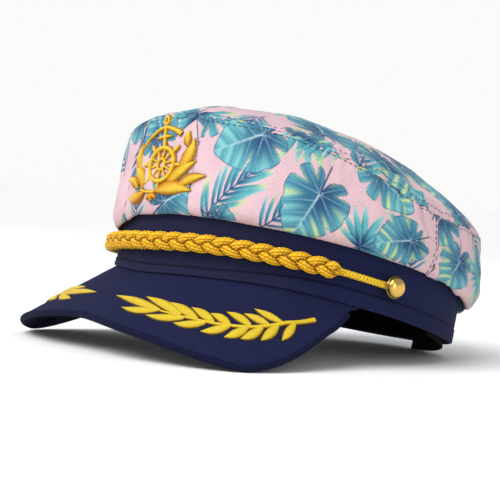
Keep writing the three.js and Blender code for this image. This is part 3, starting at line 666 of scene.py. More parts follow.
class Cloth:
    """Points of a flat cloth, in millimetres, and the colour at each."""

    def __init__(self, x, y, seed):
        self.shape = np.shape(x)
        self.x = np.asarray(x, float).ravel()
        self.y = np.asarray(y, float).ravel()
        self.rng = np.random.default_rng(seed)
        tone = ripple(self.x, self.y, 26, seed + 1)[:, None]
        haze = np.clip(ripple(self.x, self.y, 30, seed + 2) - 0.7, 0, 1)[:, None]
        self.rgb = PINK + 0.012 * tone + haze * 0.3 * (LIME - PINK)

    def near(self, x, y, reach):
        return np.nonzero((self.x - x) ** 2 + (self.y - y) ** 2 < reach * reach)[0]

    def over(self, which, alpha, colour):
        a = np.clip(alpha, 0, 1)[:, None]
        self.rgb[which] = self.rgb[which] * (1 - a) + colour * a

    def local(self, which, x, y, turn):
        a = math.radians(turn)
        dx, dy = self.x[which] - x, self.y[which] - y
        return dx * math.cos(a) + dy * math.sin(a), -dx * math.sin(a) + dy * math.cos(a)

    def line(self, a, b, wide, colour, alpha):
        long = math.hypot(b[0] - a[0], b[1] - a[1])
        which = self.near((a[0] + b[0]) / 2, (a[1] + b[1]) / 2, long / 2 + wide + 1)
        u, v = self.local(which, a[0], a[1], math.degrees(math.atan2(b[1] - a[1], b[0] - a[0])))
        far = np.hypot(v, np.maximum(0, np.maximum(-u, u - long)))
        self.over(which, alpha * step(-far, -wide / 2 - 0.25, -wide / 2 + 0.25), colour)

    def stalk(self, x, y, turn, long, wide):
        a = math.radians(turn)
        self.line((x, y), (x - math.cos(a) * long, y - math.sin(a) * long), wide, DEEP, 0.85)

    def leaflet(self, x, y, turn, long, wide, bend, root, body, tip):
        """A narrow leaflet, darker at its root and on one side, which fades at its tip."""
        which = self.near(x, y, long * 1.1 + wide)
        if not len(which):
            return
        u, v = self.local(which, x, y, turn)
        t = np.clip(u / long, 0, 1)
        v = v - bend * long * t * t
        half = wide * 0.875 * np.clip(t + 0.04, 0, 1) ** 0.6 * (1 - t) ** 0.65
        inside = np.minimum(half - np.abs(v), np.minimum(u + 0.4, long - u))
        colour = stain(root, body, step(t, 0.05, 0.5))
        colour = stain(colour, tip, step(t, 0.5, 0.95) * 0.9)
        colour = stain(colour, AQUA, 0.5 * step(-v, -0.1, 0.4) * (1 - t))
        colour = stain(colour, DEEP, 0.6 * step(v, 0.1, wide * 0.4) * (1 - t))
        self.over(which, (1 - 0.3 * step(t, 0.7, 1)) * step(inside, -0.2, 0.25), colour)

    def frond(self, x, y, turn, long, shade):
        """Slender leaflets in pairs along a curved stem."""
        curl = self.rng.uniform(-0.2, 0.2)
        count = max(6, int(long / 4.2))
        stem = []
        for i in range(40):
            t = i / 39
            a = math.radians(turn + curl * 180 * t)
            stem.append((x, y, a))
            x += math.cos(a) * long / 39
            y += math.sin(a) * long / 39
        root = mix(BLUE, DEEP, 0.3 + shade * 0.7)
        body = mix(TEAL, BLUE, shade)
        for i in range(count):
            t = 0.16 + 0.82 * i / (count - 1)
            px, py, a = stem[min(39, int(t * 39))]
            size = long * 0.54 * math.sin(math.pi * (0.2 + 0.66 * t)) ** 0.7
            size *= self.rng.uniform(0.85, 1.1)
            lean = mix(52, 20, t) + self.rng.uniform(-5, 5)
            for side in (-1, 1):
                tip = LIME if self.rng.uniform() < 0.7 else AQUA
                bend = -side * self.rng.uniform(0.02, 0.16)
                turned = math.degrees(a) + side * lean
                self.leaflet(px, py, turned, size, size * 0.15, bend, root, body, tip)
        for i in range(39):
            self.line(stem[i][:2], stem[i + 1][:2], 0.6, mix(DEEP, BLUE, i / 60), 0.95)

    def fan(self, x, y, turn, long, shade):
        """A fan palm: leaflets spread from a dark heart, on a thin stem."""
        count, opening = 14, 250.0
        for i in self.rng.permutation(count):
            t = i / (count - 1) - 0.5
            size = long * (1 - 0.3 * abs(t)) * self.rng.uniform(0.7, 1.08)
            tip = (LIME, AQUA, AQUA)[int(self.rng.integers(3))]
            body = mix(TEAL, BLUE, shade * int(self.rng.integers(3)) / 2)
            bend = self.rng.uniform(-0.05, 0.05)
            self.leaflet(x, y, turn + t * opening, size, size * 0.21, bend, DEEP, body, tip)
        self.stalk(x, y, turn + 14, long * 0.8, 0.6)

    def heart(self, x, y, turn, long, shade):
        """A broad heart-shaped leaf with side veins, light wedges between them and a few slits."""
        ribs, slant, wide = 4, 0.55, 0.94
        picks = self.rng.uniform(size=(4, 40))
        which = self.near(x, y, long * 1.08)
        if not len(which):
            return
        u, v = self.local(which, x, y, turn)
        v = v / wide
        side = (v > 0).astype(int)
        r = np.hypot(u, v)
        phi = np.degrees(np.arctan2(np.abs(v), u))
        first = math.degrees(math.atan2(1, slant))
        foot = u - np.abs(v) * slant - 0.2 / long * v * v
        index = np.where(foot >= 0, foot / long * ribs, -(phi - first) / (180 - first) * 3.0)
        index = index + np.where(side > 0, 0.0, 0.4)
        cell = np.floor(index).astype(int)
        part = index - cell
        glow = picks[side, (cell + 20) % 40]
        slit = picks[side + 2, (cell + 20) % 40]
        middle = np.abs(part - 0.5)
        cut = 0.36 * step(slit, 0.5, 0.7) * bell(middle, 0.14)
        cut = (cut + 0.05 * bell(middle, 0.16)) * step(phi, 28, 50) * (1 - step(phi, 140, 170))
        full = HEART_EDGE(phi) * long
        inside = full * (1 - cut) - r
        out = np.clip(r / np.maximum(full, 1e-3), 0, 1)
        brush = 0.5 + 0.5 * np.sin(part * 2 * math.pi * 5 + 2 * np.sin(out * 6) + 0.3 * u)
        colour = stain(mix(TEAL, BLUE, 0.2 + 0.7 * shade), AQUA, 0.4 * brush * step(out, 0.2, 0.9))
        wedge = bell(middle, 0.08 + 0.2 * out) * step(out, 0.28, 0.62)
        colour = stain(colour, AQUA, 0.75 * wedge)
        bright = bell(middle, 0.05 + 0.14 * out) * step(out, 0.36, 0.66) * step(glow, 0.35, 0.5)
        colour = stain(colour, LIME, 0.95 * bright)
        fold = bell(part, 0.22) + 0.6 * bell(1 - part, 0.1)
        colour = stain(colour, BLUE, np.clip(0.8 * fold * (1 - 0.45 * out), 0, 1))
        heart = (1 - step(r / long, 0.06, 0.7)) * np.where(side > 0, 1.0, 0.6) * (0.5 + 0.5 * brush)
        colour = stain(colour, DEEP, heart)
        far = np.where(foot >= 0, long / ribs * 0.85, r * math.radians(180 - first) / 3.0)
        vein = np.minimum(part, 1 - part) * far
        colour = stain(colour, PALE, 0.6 * bell(vein, 0.32) * (1 - 0.6 * out))
        along = np.clip(u / long, 0, 1)
        rib = bell(v, 0.7 - 0.35 * along) * (u > -1)
        colour = stain(colour, PALE, 0.9 * rib * (1 - 0.6 * along))
        colour = stain(colour, DEEP, 0.6 * (1 - step(inside, 0.1, 0.9)))
        self.over(which, 0.98 * step(inside, -0.2, 0.3), colour)
        self.stalk(x, y, turn + 8, long * 0.55, 0.8)

    def draw(self, kind, *values):
        {"frond": self.frond, "fan": self.fan, "heart": self.heart}[kind](*values)

    def colours(self):
        return np.clip(self.rgb, 0, 1).reshape(self.shape + (3,))


# Leaves of the front panel and of the wearer's left panel, in the order that they are laid:
# kind, share of the way across from the right, height in mm, turn, length in mm, darkness.
FRONT_LEAVES = [
    ("frond", -0.02, 20, 78, 46, 0.8),
    ("frond", 0.22, 0, 60, 26, 0.3),
    ("fan", 0.16, 76, 250, 23, 0.5),
    ("fan", 0.95, 62, 96, 27, 0.3),
    ("heart", 0.5, 50, 118, 22, 0.5),
    ("heart", 0.8, 15, 26, 25, 0.2),
]
LEFT_LEAVES = [
    ("frond", 0.06, 0, 58, 40, 0.2),
    ("frond", 0.28, 2, 44, 34, 0.4),
    ("fan", 0.39, 62, 276, 26, 0.4),
    ("frond", 0.6, 66, 215, 32, 0.3),
    ("fan", 0.67, 8, 22, 26, 0.2),
    ("frond", 0.92, -2, 98, 38, 0.5),
    ("heart", 0.01, 54, 24, 20, 0.3),
    ("heart", 0.25, 49, 205, 28, 0.1),
    ("heart", 0.49, 29, 248, 29, 0.5),
    ("heart", 0.7, 54, 332, 26, 0.1),
    ("heart", 0.87, 24, 208, 25, 0.4),
    ("heart", 0.99, 56, 60, 19, 0.6),
    ("heart", 0.13, 5, 318, 18, 0.6),
]


def scatter(cloth, low, high, seed, gap=36.0):
    """Leaves set out over a cloth in staggered rows, the broad ones last."""
    rng = np.random.default_rng(seed)
    rows = max(1, round((high[1] - low[1]) / (gap * 0.8)))
    cols = max(1, round((high[0] - low[0]) / gap))
    leaves = []
    for i in range(cols + 1):
        for j in range(rows + 1):
            x = mix(low[0], high[0], i / cols) + (gap * 0.5 if j % 2 else 0) + rng.uniform(-4, 4)
            y = mix(low[1], high[1], j / rows) + rng.uniform(-4, 4)
            kind, size = (("heart", 29), ("frond", 42), ("heart", 27), ("fan", 27))[(i + 2 * j) % 4]
            turn, size = rng.uniform(0, 360), size * rng.uniform(0.9, 1.1)
            leaves.append((kind, x, y, turn, size, rng.uniform(0, 0.6)))
    for leaf in sorted(leaves, key=lambda row: row[0] == "heart"):
        cloth.draw(*leaf)


# The crown
def even_places(angle, count):
    """Places up the crown's side at even distances, and the whole height in mm."""
    fine = np.linspace(0, 1, 400)
    points = crown_point(np.full(400, angle), fine)
    run = run_along(points)
    return np.interp(np.linspace(0, run[-1], count), run, fine), run[-1]


def front_seam(side, place):
    """The angle of a seam of the front panel, at places up the crown's side."""
    return CROWN_TURN + side * (FRONT_SEAM_ANGLE + FRONT_LEAN_ANGLE * (1 - 2 * place))


def stitch_row(piece, points, normals):
    """Short raised stitches of thread along a line on the cloth."""
    run = run_along(points)
    turn = full_turn(6)[None, :, None]
    for middle in np.arange(STITCH_PITCH / 2, run[-1], STITCH_PITCH):
        at = middle + np.linspace(-0.5, 0.5, 7) * STITCH_LONG
        line = np.stack([np.interp(at, run, points[:, k]) for k in range(3)], -1)
        up = unit(np.stack([np.interp(at, run, normals[:, k]) for k in range(3)], -1))
        along = unit(np.gradient(line, axis=0))
        side = unit(np.cross(up, along))
        round_ends = np.sin(np.linspace(0.06, 0.94, 7) * math.pi)[:, None]
        line = line + up * (0.3 * round_ends - 0.1)
        thick = (STITCH_WIDE / 2 * round_ends ** 0.5)[..., None]
        ring = line[:, None] + side[:, None] * np.cos(turn) * thick + up[:, None] * np.sin(turn) * thick
        piece.grid(ring, wrap=(False, True))


TAKEN_IN = [
    # angle at the top seam, depth and width of a fold
    (70, 0.8, 2.4), (78, 1.4, 2.4), (86, 1.5, 2.1), (92, 0.6, 2.0), (105, 0.8, 2.8),
]
HEM_FOLDS = [
    # angle above the band, lean and depth of a fold
    (104, 0.8, 0.8), (109, 0.65, 1.1), (114, 0.45, 1.3), (119, 0.2, 1.4),
    (124, -0.1, 1.3), (129, -0.35, 1.1), (134, -0.5, 0.9),
]
TOP_FOLDS = [
    # angle at the dome's edge, depth and width of a fold
    (66, 1.0, 2.8), (74, 1.6, 2.6), (84, 2.0, 2.4), (95, 1.8, 2.8), (104, 1.3, 3.2),
]


def gathers(angle, t, top):
    """Folds where the cloth is taken in: above the band at the left, and along the top seam."""
    out = np.zeros(np.broadcast(angle, t).shape)
    fade = bell(top, 15.0)
    for centre, deep, wide in TAKEN_IN:
        out += deep * bell(angle - (centre + top * 0.22), wide) * fade * step(top, 0, 5)
        out -= deep * 0.8 * bell(angle - (centre + 3.6 + top * 0.2), wide * 0.6) * fade
    fade = bell(t - 24, 14) * step(t, 12, 24)
    for centre, lean, deep in HEM_FOLDS:
        out += deep * bell(angle - (centre - (t - 8) * lean), 1.7) * fade
    return out


def puckers(run, pitch, drift):
    """Small waves of the cloth along a seam."""
    return np.sin(run * 2 * math.pi / pitch + drift * 2)


def crown_side(name, start, stop, spacing, seed, node, leaves=None, sewn=(False, False)):
    """A panel of the crown's side between two seams, given as angles at each place."""
    middle = (start(np.array([0.7]))[0] + stop(np.array([0.7]))[0]) / 2
    _, height = even_places(middle, 2)
    rows = int(height / spacing) + 2
    places, height = even_places(middle, rows)
    mm = per_degree(middle, OVERHANG * 0.7)
    first, last = start(places), stop(places)
    wide = float(np.mean(last - first)) * mm
    cols = int(wide / spacing) + 2
    share = np.linspace(0, 1, cols)[:, None]
    angle = mix(first[None, :], last[None, :], share) + (1 - 2 * share) * GAP / 6 / mm
    place = np.broadcast_to(places[None, :], angle.shape)
    s = angle * mm
    t = np.broadcast_to(np.linspace(0, height, rows)[None, :], angle.shape)
    sides = [np.broadcast_to(far * wide, angle.shape) for far in (share, 1 - share)]
    edge = np.minimum(*sides)
    top = height - t
    relief = 0.6 * ripple(s, t, 34, seed) + 0.24 * ripple(s, t, 13, seed + 5)
    relief *= step(t, 2, 14) * step(top, 0, 8)
    relief += 0.42 * puckers(s, PUCKER, ripple(s, t, 30, seed + 3)) * np.exp(-top / 6)
    relief += 0.25 * puckers(t, SIDE_PUCKER, ripple(s, t, 30, seed + 4)) * np.exp(-edge / 4)
    relief -= 0.7 * bell(edge, 0.6)
    for far, on in zip(sides, sewn):
        relief -= 0.3 * on * bell(far - STITCH_INSET, 0.6)
    relief -= 1.0 * bell(top, 0.8) + 0.3 * bell(top - STITCH_INSET, 0.6)
    relief += gathers(signed(angle), t, top)
    points = crown_point(angle, place)
    normal = normals_of(points)
    points = points + normal * relief[..., None]
    cloth = Cloth(s, t, seed)
    low = float(s.min())
    if leaves:
        for kind, across, up, turn, long, shade in leaves:
            cloth.draw(kind, low + across * wide, up, turn, long, shade)
    else:
        scatter(cloth, (low, 4.0), (low + wide, height + 4.0), seed)
    piece = Piece()
    piece.grid(points, np.stack([s, t], -1), cloth.colours())
    inner = points - normal * CROWN_WALL * 0.8
    # The cut edges at the seams carry painted shade.
    piece.grid(np.stack([inner[0], points[0]]), None, SHADED_EDGE_PINK)
    piece.grid(np.stack([points[-1], inner[-1]]), None, SHADED_EDGE_PINK)
    piece.make(name, PRINT, [node])
    column = round(STITCH_INSET / wide * (cols - 1))
    row = rows - 1 - round(STITCH_INSET / height * (rows - 1))
    up = normals_of(points)
    low_row = int(rows * 0.12)
    for k, on in zip((column, cols - 1 - column), sewn):
        if on:
            stitch_row(SEAMS, points[k, low_row:], up[k, low_row:])
    stitch_row(SEAMS, points[:, row], up[:, row])


SEAMS = Piece()
left_seam = CROWN_TURN + BACK_SEAM_ANGLE
right_seam = CROWN_TURN - BACK_SEAM_ANGLE
crown_side(
    "crown_front_cloth", lambda p: front_seam(-1, p), lambda p: front_seam(1, p),
    0.42, 11, "crown_front", FRONT_LEAVES,
)
crown_side(
    "crown_left_cloth", lambda p: front_seam(1, p), lambda p: np.full_like(p, left_seam),
    0.44, 12, "crown_left", LEFT_LEAVES, (False, True),
)
crown_side(
    "crown_right_cloth", lambda p: np.full_like(p, right_seam), lambda p: front_seam(-1, p),
    0.56, 13, "crown_right", None, (True, False),
)
crown_side(
    "crown_back_cloth", lambda p: np.full_like(p, left_seam), lambda p: np.full_like(p, right_seam + 360),
    0.78, 14, "crown_back",
)


def crown_top():
    steps, rings = 600, 112
    angle = np.linspace(0, 360, steps, endpoint=False)[:, None]
    share = np.linspace(1, 0.004, rings)[None, :]
    angle, share = np.broadcast_arrays(angle, share)
    points = top_point(angle, share)
    x, y = points[..., 0], points[..., 1]
    edge = (1 - share) * TOP_RADIUS
    relief = 0.9 * ripple(x, y, 46, 31) + 0.3 * ripple(x, y, 16, 32)
    relief *= step(edge, 0, 12)
    relief += 2.4 * np.exp(-((x - 10) ** 2 + (y + 75) ** 2) / 28 ** 2) * step(edge, 0, 10)
    relief -= 1.3 * np.exp(-((x - 41) ** 2 + (y - 25) ** 2) / 20 ** 2)
    relief += 0.42 * puckers(angle * TOP_DEGREE, PUCKER, ripple(x, y, 30, 33)) * np.exp(-edge / 6)
    relief -= 1.1 * bell(edge, 0.9) + 0.4 * bell(edge - STITCH_INSET, 0.6)
    turned = signed(angle)
    welt = step(turned, 40, 62) * (1 - step(turned, 96, 108))
    relief += welt * (1.3 * bell(edge - 6, 3) - 0.8 * bell(edge - 12.5, 3.5))
    for centre, deep, wide in TOP_FOLDS:
        fold = bell(turned - (centre - edge * 0.3), wide) * bell(edge, 17)
        relief += deep * fold * step(edge, 0, 5)
    normal = normals_of(points, wrap=True)
    points = points + normal * relief[..., None]
    cloth = Cloth(x, y, 21)
    scatter(cloth, (-TOP_RADIUS, -104), (TOP_RADIUS, 104), 85, 37)
    piece = Piece()
    piece.grid(points, np.stack([x, y], -1), cloth.colours(), wrap=(True, False))
    piece.make("crown_top_cloth", PRINT, ["crown_top"])
    ring = round(STITCH_INSET / TOP_RADIUS * (rings - 1))
    up = normals_of(points, wrap=True)
    stitch_row(SEAMS, points[:, ring], up[:, ring])


crown_top()
SEAMS.make("crown_seam_stitches", SEAM_THREAD, [])


def crown_lining():
    piece = Piece()
    angle = np.linspace(0, 360, 120, endpoint=False)[:, None]
    places, _ = even_places(60, 16)
    a, p = np.broadcast_arrays(angle, places[None, :])
    side = crown_point(a, p, -CROWN_WALL)
    a, share = np.broadcast_arrays(angle, np.linspace(0.985, 0.01, 16)[None, :])
    roof = top_point(a, share)
    roof[..., 2] -= CROWN_WALL
    both = np.concatenate([side, roof], 1)
    piece.grid(both, both[..., :2], wrap=(True, False), flip=True)
    piece.make("crown_lining", BLACK, [])


crown_lining()


# The band, the sweatband inside it and the tab at the back
def strip(name, start, stop, steps, low, high, out, wall, material, node, relief, shade_and_tint=None, rows=48):
    """A standing strip of cloth: outer face, turned lower and upper edges, inner face."""
    whole = stop - start == 360
    angle = np.linspace(start, stop, steps, endpoint=not whole)[:, None]
    share = np.linspace(0, 1, rows)[None, :]
    a, sh = np.broadcast_arrays(angle, share)
    level = mix(low(a), high, sh)
    swell = relief(a, level - low(a), high - level)
    uv = np.stack([a * BAND_DEGREE, level], -1)
    outer = around(a, out + swell, level)
    a5, k = np.broadcast_arrays(angle, np.linspace(0, 1, 5)[None, :])
    bulge = 0.25 * wall * np.sin(math.pi * k)
    foot = around(a5, mix(out - wall, out + swell[:, :1], k), low(a5) - bulge)
    roof = around(a5, mix(out + swell[:, -1:], out - wall, k), high + bulge * 0.3)
    inner = around(a, out - wall + swell * -0.6, level)[:, ::-1]
    # Colour painted on the outer face; on the band this is painted shade.
    colour = shade_and_tint(a, level - low(a)) if shade_and_tint else 1.0
    piece = Piece()
    wrap = (whole, False)
    piece.grid(outer, uv, colour, wrap=wrap)
    piece.grid(foot, uv[:, :5], wrap=wrap)
    piece.grid(roof, uv[:, :5], wrap=wrap)
    few = np.linspace(0, rows - 1, 9).astype(int)
    piece.grid(inner[:, few], uv[:, ::-1][:, few], wrap=wrap)
    if not whole:
        thick = np.linspace(0, 1, 4)[:, None, None]
        piece.grid(mix(inner[0, ::-1], outer[0], thick))
        piece.grid(mix(outer[-1], inner[-1, ::-1], thick))
    piece.make(name, material, [node])


def hem(angle):
    """Height of the band's stitched hem, which widens toward the sides."""
    return 3.8 + 3.4 * step(np.abs(signed(angle)), 25, 75)


def band_relief(angle, above, below):
    line = above - hem(angle)
    out = 0.1 * ripple(angle * BAND_DEGREE, above, 22, 91) + 0.5 * (1 - step(line, -0.3, 0.35))
    out -= 0.35 * bell(line + 1.3, 0.3)
    return out * step(below, 2, 8)


# Painted shade: a dark line along the hem's edge, and the band's sides darker and bluer than its front.
def band_painted_shade(angle, above):
    dark = 1 - 0.6 * bell(above - hem(angle) - 0.4, 0.4)
    # The sides are painted darker and bluer as shade.
    side = step(np.abs(signed(angle)), 35, 70)[..., None]
    return dark[..., None] * mix(np.array([1.0, 0.98, 0.95]), np.array([0.82, 0.9, 1.0]), side)


strip(
    "band_cloth", 0, 360, 760, rim_level, BAND_HEIGHT, 0.0, BAND_WALL, BAND_TWILL, "band",
    band_relief, band_painted_shade,
)


def sweatband_relief(angle, above, below):
    wave = 0.14 * ripple(angle * 1.6, above, 18, 47)
    return wave - 0.25 * bell(above - 3.0, 0.5)


SWEATBAND_OUT = -BAND_WALL - GAP
strip(
    "sweatband_cloth", 0, 360, 300, lambda a: rim_level(a) + SWEATBAND_INSET, SWEATBAND_HEIGHT,
    SWEATBAND_OUT, SWEATBAND_WALL, BLACK, "sweatband", sweatband_relief, rows=24,
)


def tab_low(angle):
    share = (angle - TAB_START_ANGLE) / (TAB_END_ANGLE - TAB_START_ANGLE)
    return -TAB_DROP * np.sin(math.pi / 2 * np.clip(share, 0, 1))


def tab_relief(angle, above, below):
    """A doubled end, sewn down along its lower edge."""
    doubled = step(angle, TAB_START_ANGLE + 6, TAB_START_ANGLE + 6.6)
    out = 0.12 * ripple(angle * 1.6, above, 12, 48) - 0.25 * (1 - doubled)
    return out - 0.3 * bell(above - 2.2, 0.4)


strip(
    "back_tab_cloth", TAB_START_ANGLE, TAB_END_ANGLE, 150, tab_low, TAB_HEIGHT,
    SWEATBAND_OUT - SWEATBAND_WALL - GAP, TAB_WALL, BLACK, "back_tab", tab_relief, rows=30,
)


# The peak
def peak_shares(count):
    fine = np.linspace(-1, 1, 2001)
    edge = peak_point(fine, np.ones_like(fine))
    run = run_along(edge)
    return np.interp(np.linspace(0, run[-1], count), run, fine)


def peak():
    cols, rows = 400, 90
    share, out = np.broadcast_arrays(peak_shares(cols)[:, None], np.linspace(1, 0, rows)[None, :])
    points = peak_point(share, out)
    up = peak_up(share, out)
    upper = points + up * (0.1 * ripple(points[..., 0], points[..., 1], 20, 5))[..., None]
    lower = points - up * PEAK_WALL
    piece = Piece()
    uv = np.stack([points[..., 0], points[..., 1] * 1.25], -1)
    piece.grid(upper, uv)
    few = np.ix_(np.linspace(0, cols - 1, 200).astype(int), np.linspace(0, rows - 1, 30).astype(int))
    piece.grid(lower[few], uv[few], flip=True)
    piece.grid(np.stack([lower[:, 0], points[:, 0]], 1))
    piece.make("peak_cloth", NAVY, ["peak"])


peak()


def tube(points, up, width, height, sides, bumps=None):
    """Rings round a line, their uv, and the way along and round it at each point.

    width lies across, height along up, and bumps adds to the radius."""
    along = unit(np.gradient(points, axis=0))
    side = unit(np.cross(along, up))
    rise = unit(np.cross(side, along))
    run, turn = run_along(points)[:, None], full_turn(sides)[None, :]
    extra = bumps(run, turn) if bumps else 0.0
    x = np.cos(turn) * (np.reshape(width, (-1, 1)) / 2 + extra)
    y = np.sin(turn) * (np.reshape(height, (-1, 1)) / 2 + extra)
    ring = points[:, None] + side[:, None] * x[..., None] + rise[:, None] * y[..., None]
    return ring, np.stack(np.broadcast_arrays(run, turn * 2.0), -1), run, turn


def piping():
    shares = peak_shares(700)
    shares = shares[np.abs(shares) < PIPING_END]
    one = np.ones_like(shares)
    up = peak_up(shares, one)
    edge = peak_point(shares, one)
    along = unit(np.gradient(edge, axis=0))
    ahead = unit(np.cross(along, up))
    centre = edge - up * (PEAK_WALL / 2) + ahead * (PIPING / 2 - 0.5)
    ring, uv, _, _ = tube(centre, up, PIPING, PIPING + 0.5, 14)
    piece = Piece()
    piece.grid(ring, uv, wrap=(False, True))
    piece.make("peak_piping_cloth", NAVY_EDGE, ["peak_piping"])


piping()

# Laurels
NEAR_LEAVES = [
    # foot share, foot out, tip share, tip out, width in mm
    (0.315, 0.604, 0.074, 0.538, 6.2),
    (0.304, 0.614, 0.171, 0.701, 6.0),
    (0.393, 0.587, 0.212, 0.449, 6.6),
    (0.409, 0.606, 0.286, 0.71, 6.2),
    (0.45, 0.583, 0.319, 0.457, 6.4),
    (0.478, 0.589, 0.392, 0.705, 6.4),
    (0.5, 0.565, 0.406, 0.452, 6.2),
    (0.548, 0.552, 0.481, 0.701, 6.4),
    (0.547, 0.543, 0.476, 0.466, 6.0),
    (0.598, 0.523, 0.549, 0.691, 6.4),
    (0.605, 0.498, 0.52, 0.403, 5.8),
    (0.638, 0.504, 0.592, 0.663, 6.2),
    (0.654, 0.469, 0.573, 0.379, 5.6),
    (0.68, 0.479, 0.644, 0.656, 6.0),
    (0.691, 0.45, 0.599, 0.299, 5.4),
    (0.729, 0.496, 0.698, 0.698, 5.4),
]
# Painted shade on the flanks of the satin-stitched forms.
SATIN_SIDE_SHADE = np.array([0.84, 0.68, 0.40])
# Painted shadow: dark edgings laid under the stitched forms, olive under the laurels and orange-brown under
# the emblem.
SHADOW_EDGING = np.array([0.26, 0.21, 0.10])
GOLD_SHADOW_EDGING = np.array([0.68, 0.50, 0.22])
# Painted shade of the cords: in the gaps between loops and in the creases where strands meet.
CORD_GAP_SHADE = np.array([0.85, 0.65, 0.28])
CORD_CREASE_SHADE = np.array([0.46, 0.32, 0.14])
STEM = np.array([
    (0.308, 0.604), (0.384, 0.602), (0.429, 0.59), (0.501, 0.572),
    (0.571, 0.536), (0.637, 0.491), (0.706, 0.464), (0.796, 0.544),
])
OUT_SCALE = 1.07


def satin(piece, centre, up, widths, rise, shadow_edge, seed, skew=0.5, colour=1.0):
    """A raised satin-stitched form along a line, pillow-shaped in section, on a dark edging that is painted
    shadow round it; its flanks carry painted shade and its crest a painted highlight.
    """
    side = unit(np.cross(up, unit(np.gradient(centre, axis=0))))
    run = run_along(centre)[:, None]
    x = np.linspace(-1, 1, SATIN_ACROSS)[None, :]
    half = np.asarray(widths, float)[:, None] / 2
    rough = 1 + 0.06 * ripple(run, x * 40, 0.9, seed)
    full = half / max(float(half.max()), 0.1)
    lift = rise * (1 - np.abs(x) ** 2.8) ** 0.6 * (0.3 + 0.7 * full)
    rim = np.abs(x) > 0.999

    def laid(across, height):
        return centre[:, None] + side[:, None] * across[..., None] + up[:, None] * height[..., None]

    uv = np.stack([run + x * half * skew, x * half], -1)
    # Painted shade and highlight: darker flanks, lighter crest.
    crest_light = (1 - np.abs(x) ** 1.6)[..., None]
    shade_and_tint = mix(SATIN_SIDE_SHADE, np.ones(3), crest_light ** 0.45) * colour
    piece.grid(laid(x * half * rough, lift - 0.35 * rim), uv, shade_and_tint, flip=True)
    # The wider edging beneath the form is painted shadow round it.
    piece.grid(laid(x * (half + 0.42), 0.12 - 0.3 * rim), uv, shadow_edge, flip=True)


def laurel(side):
    piece = Piece()
    fine = np.linspace(0, len(STEM) - 1, 90)
    s, o = [np.interp(fine, np.arange(len(STEM)), column) for column in STEM.T]
    o = o * OUT_SCALE
    widths = np.interp(fine, [0, 3, 6, 7], [1.2, 1.8, 2.4, 2.8])
    up = peak_up(side * s, o)
    satin(piece, peak_point(side * s, o) + up * 0.3, up, widths, 0.9, SHADOW_EDGING, 3)
    for n, (s0, o0, s1, o1, wide) in enumerate(NEAR_LEAVES):
        t = np.linspace(0, 1, 34)
        bend = 0.02 * np.sin(math.pi * t)
        s = mix(s0, s1, t)
        o = (mix(o0, o1, t) + bend * (1 if o1 > o0 else -1)) * OUT_SCALE
        up = peak_up(side * s, o)
        widths = 0.9 * wide * np.maximum(np.sin(math.pi * (0.16 + 0.84 * t)) ** 1.05, 0.05)
        satin(piece, peak_point(side * s, o) + up * 0.25, up, widths, 0.95, SHADOW_EDGING, n, 0.8)
    node = "peak_laurel_left" if side > 0 else "peak_laurel_right"
    piece.make(node + "_stitching", YELLOW_THREAD, [node])


laurel(1)
laurel(-1)


# Emblem
def on_front(a, level):
    """Points of the front panel, by millimetres round from the front centre and by level."""
    a, level = spread(a, level)
    angle = a / per_degree(CROWN_TURN, OVERHANG * 0.76)
    controls = crown_controls(angle)
    low, high = np.full(a.shape, 0.5), np.ones(a.shape)
    for _ in range(22):
        half = (low + high) / 2
        under = curve_at(controls, half)[..., 1] < level
        low, high = np.where(under, half, low), np.where(under, high, half)
    here = crown_point(angle, low)
    return here, unit(crown_point(angle, low, 1.0) - here)


def stitched(piece, line, widths, rise, count, seed, skew=0.5, colour=1.0, lift=0.3):
    """A satin form on the front panel, along a line given as for on_front."""
    line = np.array(line, float)
    at = np.linspace(0, len(line) - 1, count)
    k = np.arange(len(line))
    a = np.interp(at, k, line[:, 0])
    z = np.interp(at, k, line[:, 1])
    if callable(widths):
        w = widths(np.linspace(0, 1, count))
    else:
        w = np.interp(at, np.linspace(0, len(line) - 1, len(widths)), widths)
    here, up = on_front(a, z)
    satin(piece, here + up * lift, up, w, rise, GOLD_SHADOW_EDGING, seed, skew, colour)


def leaf_width(wide):
    return lambda t: wide * np.maximum(np.sin(math.pi * t ** 0.9) ** 1.05, 0.08)


def curved(foot, tip, bow):
    """A line from foot to tip, bowed to its left by a share of its length."""
    foot, tip = np.array(foot, float), np.array(tip, float)
    t = np.linspace(0, 1, 14)[:, None]
    way = tip - foot
    side = np.array([-way[1], way[0]])
    return foot + way * t + side * bow * np.sin(math.pi * t)


WHEEL = (9.2, 55.3)
SPRAY = [
    # foot, tip, bow, width in mm
    ((-7.2, 51.0), (-12.0, 66.4), 0.14, 5.6),
    ((-1.6, 42.0), (-13.2, 53.6), -0.1, 7.2),
    ((-6.4, 41.6), (-19.6, 46.4), -0.12, 5.0),
    ((1.2, 40.4), (-14.4, 36.2), 0.1, 6.0),
    ((24.2, 66.0), (22.8, 74.4), 0.1, 4.4),
    ((21.6, 54.0), (27.4, 70.6), -0.1, 6.8),
    ((15.6, 43.8), (31.8, 59.0), 0.06, 6.2),
    ((23.0, 44.2), (39.0, 52.2), 0.08, 5.0),
    ((8.6, 40.8), (32.4, 43.6), 0.08, 7.4),
]
SPRAY_COUNT = 44
# Painted shade at the foot of the emblem's leaves.
LEAF_FOOT_SHADE = np.array([0.80, 0.54, 0.20])
ORANGE = np.array([1.0, 0.84, 0.58])


def leaf_shade():
    """Painted shade: darker at a leaf's foot and down one side."""
    t = np.linspace(0, 1, SPRAY_COUNT)[:, None, None]
    x = np.linspace(-1, 1, SATIN_ACROSS)[None, :, None]
    return mix(LEAF_FOOT_SHADE, np.ones(3), step(0.35 + 0.75 * t - 0.4 * x, 0.0, 1.0))


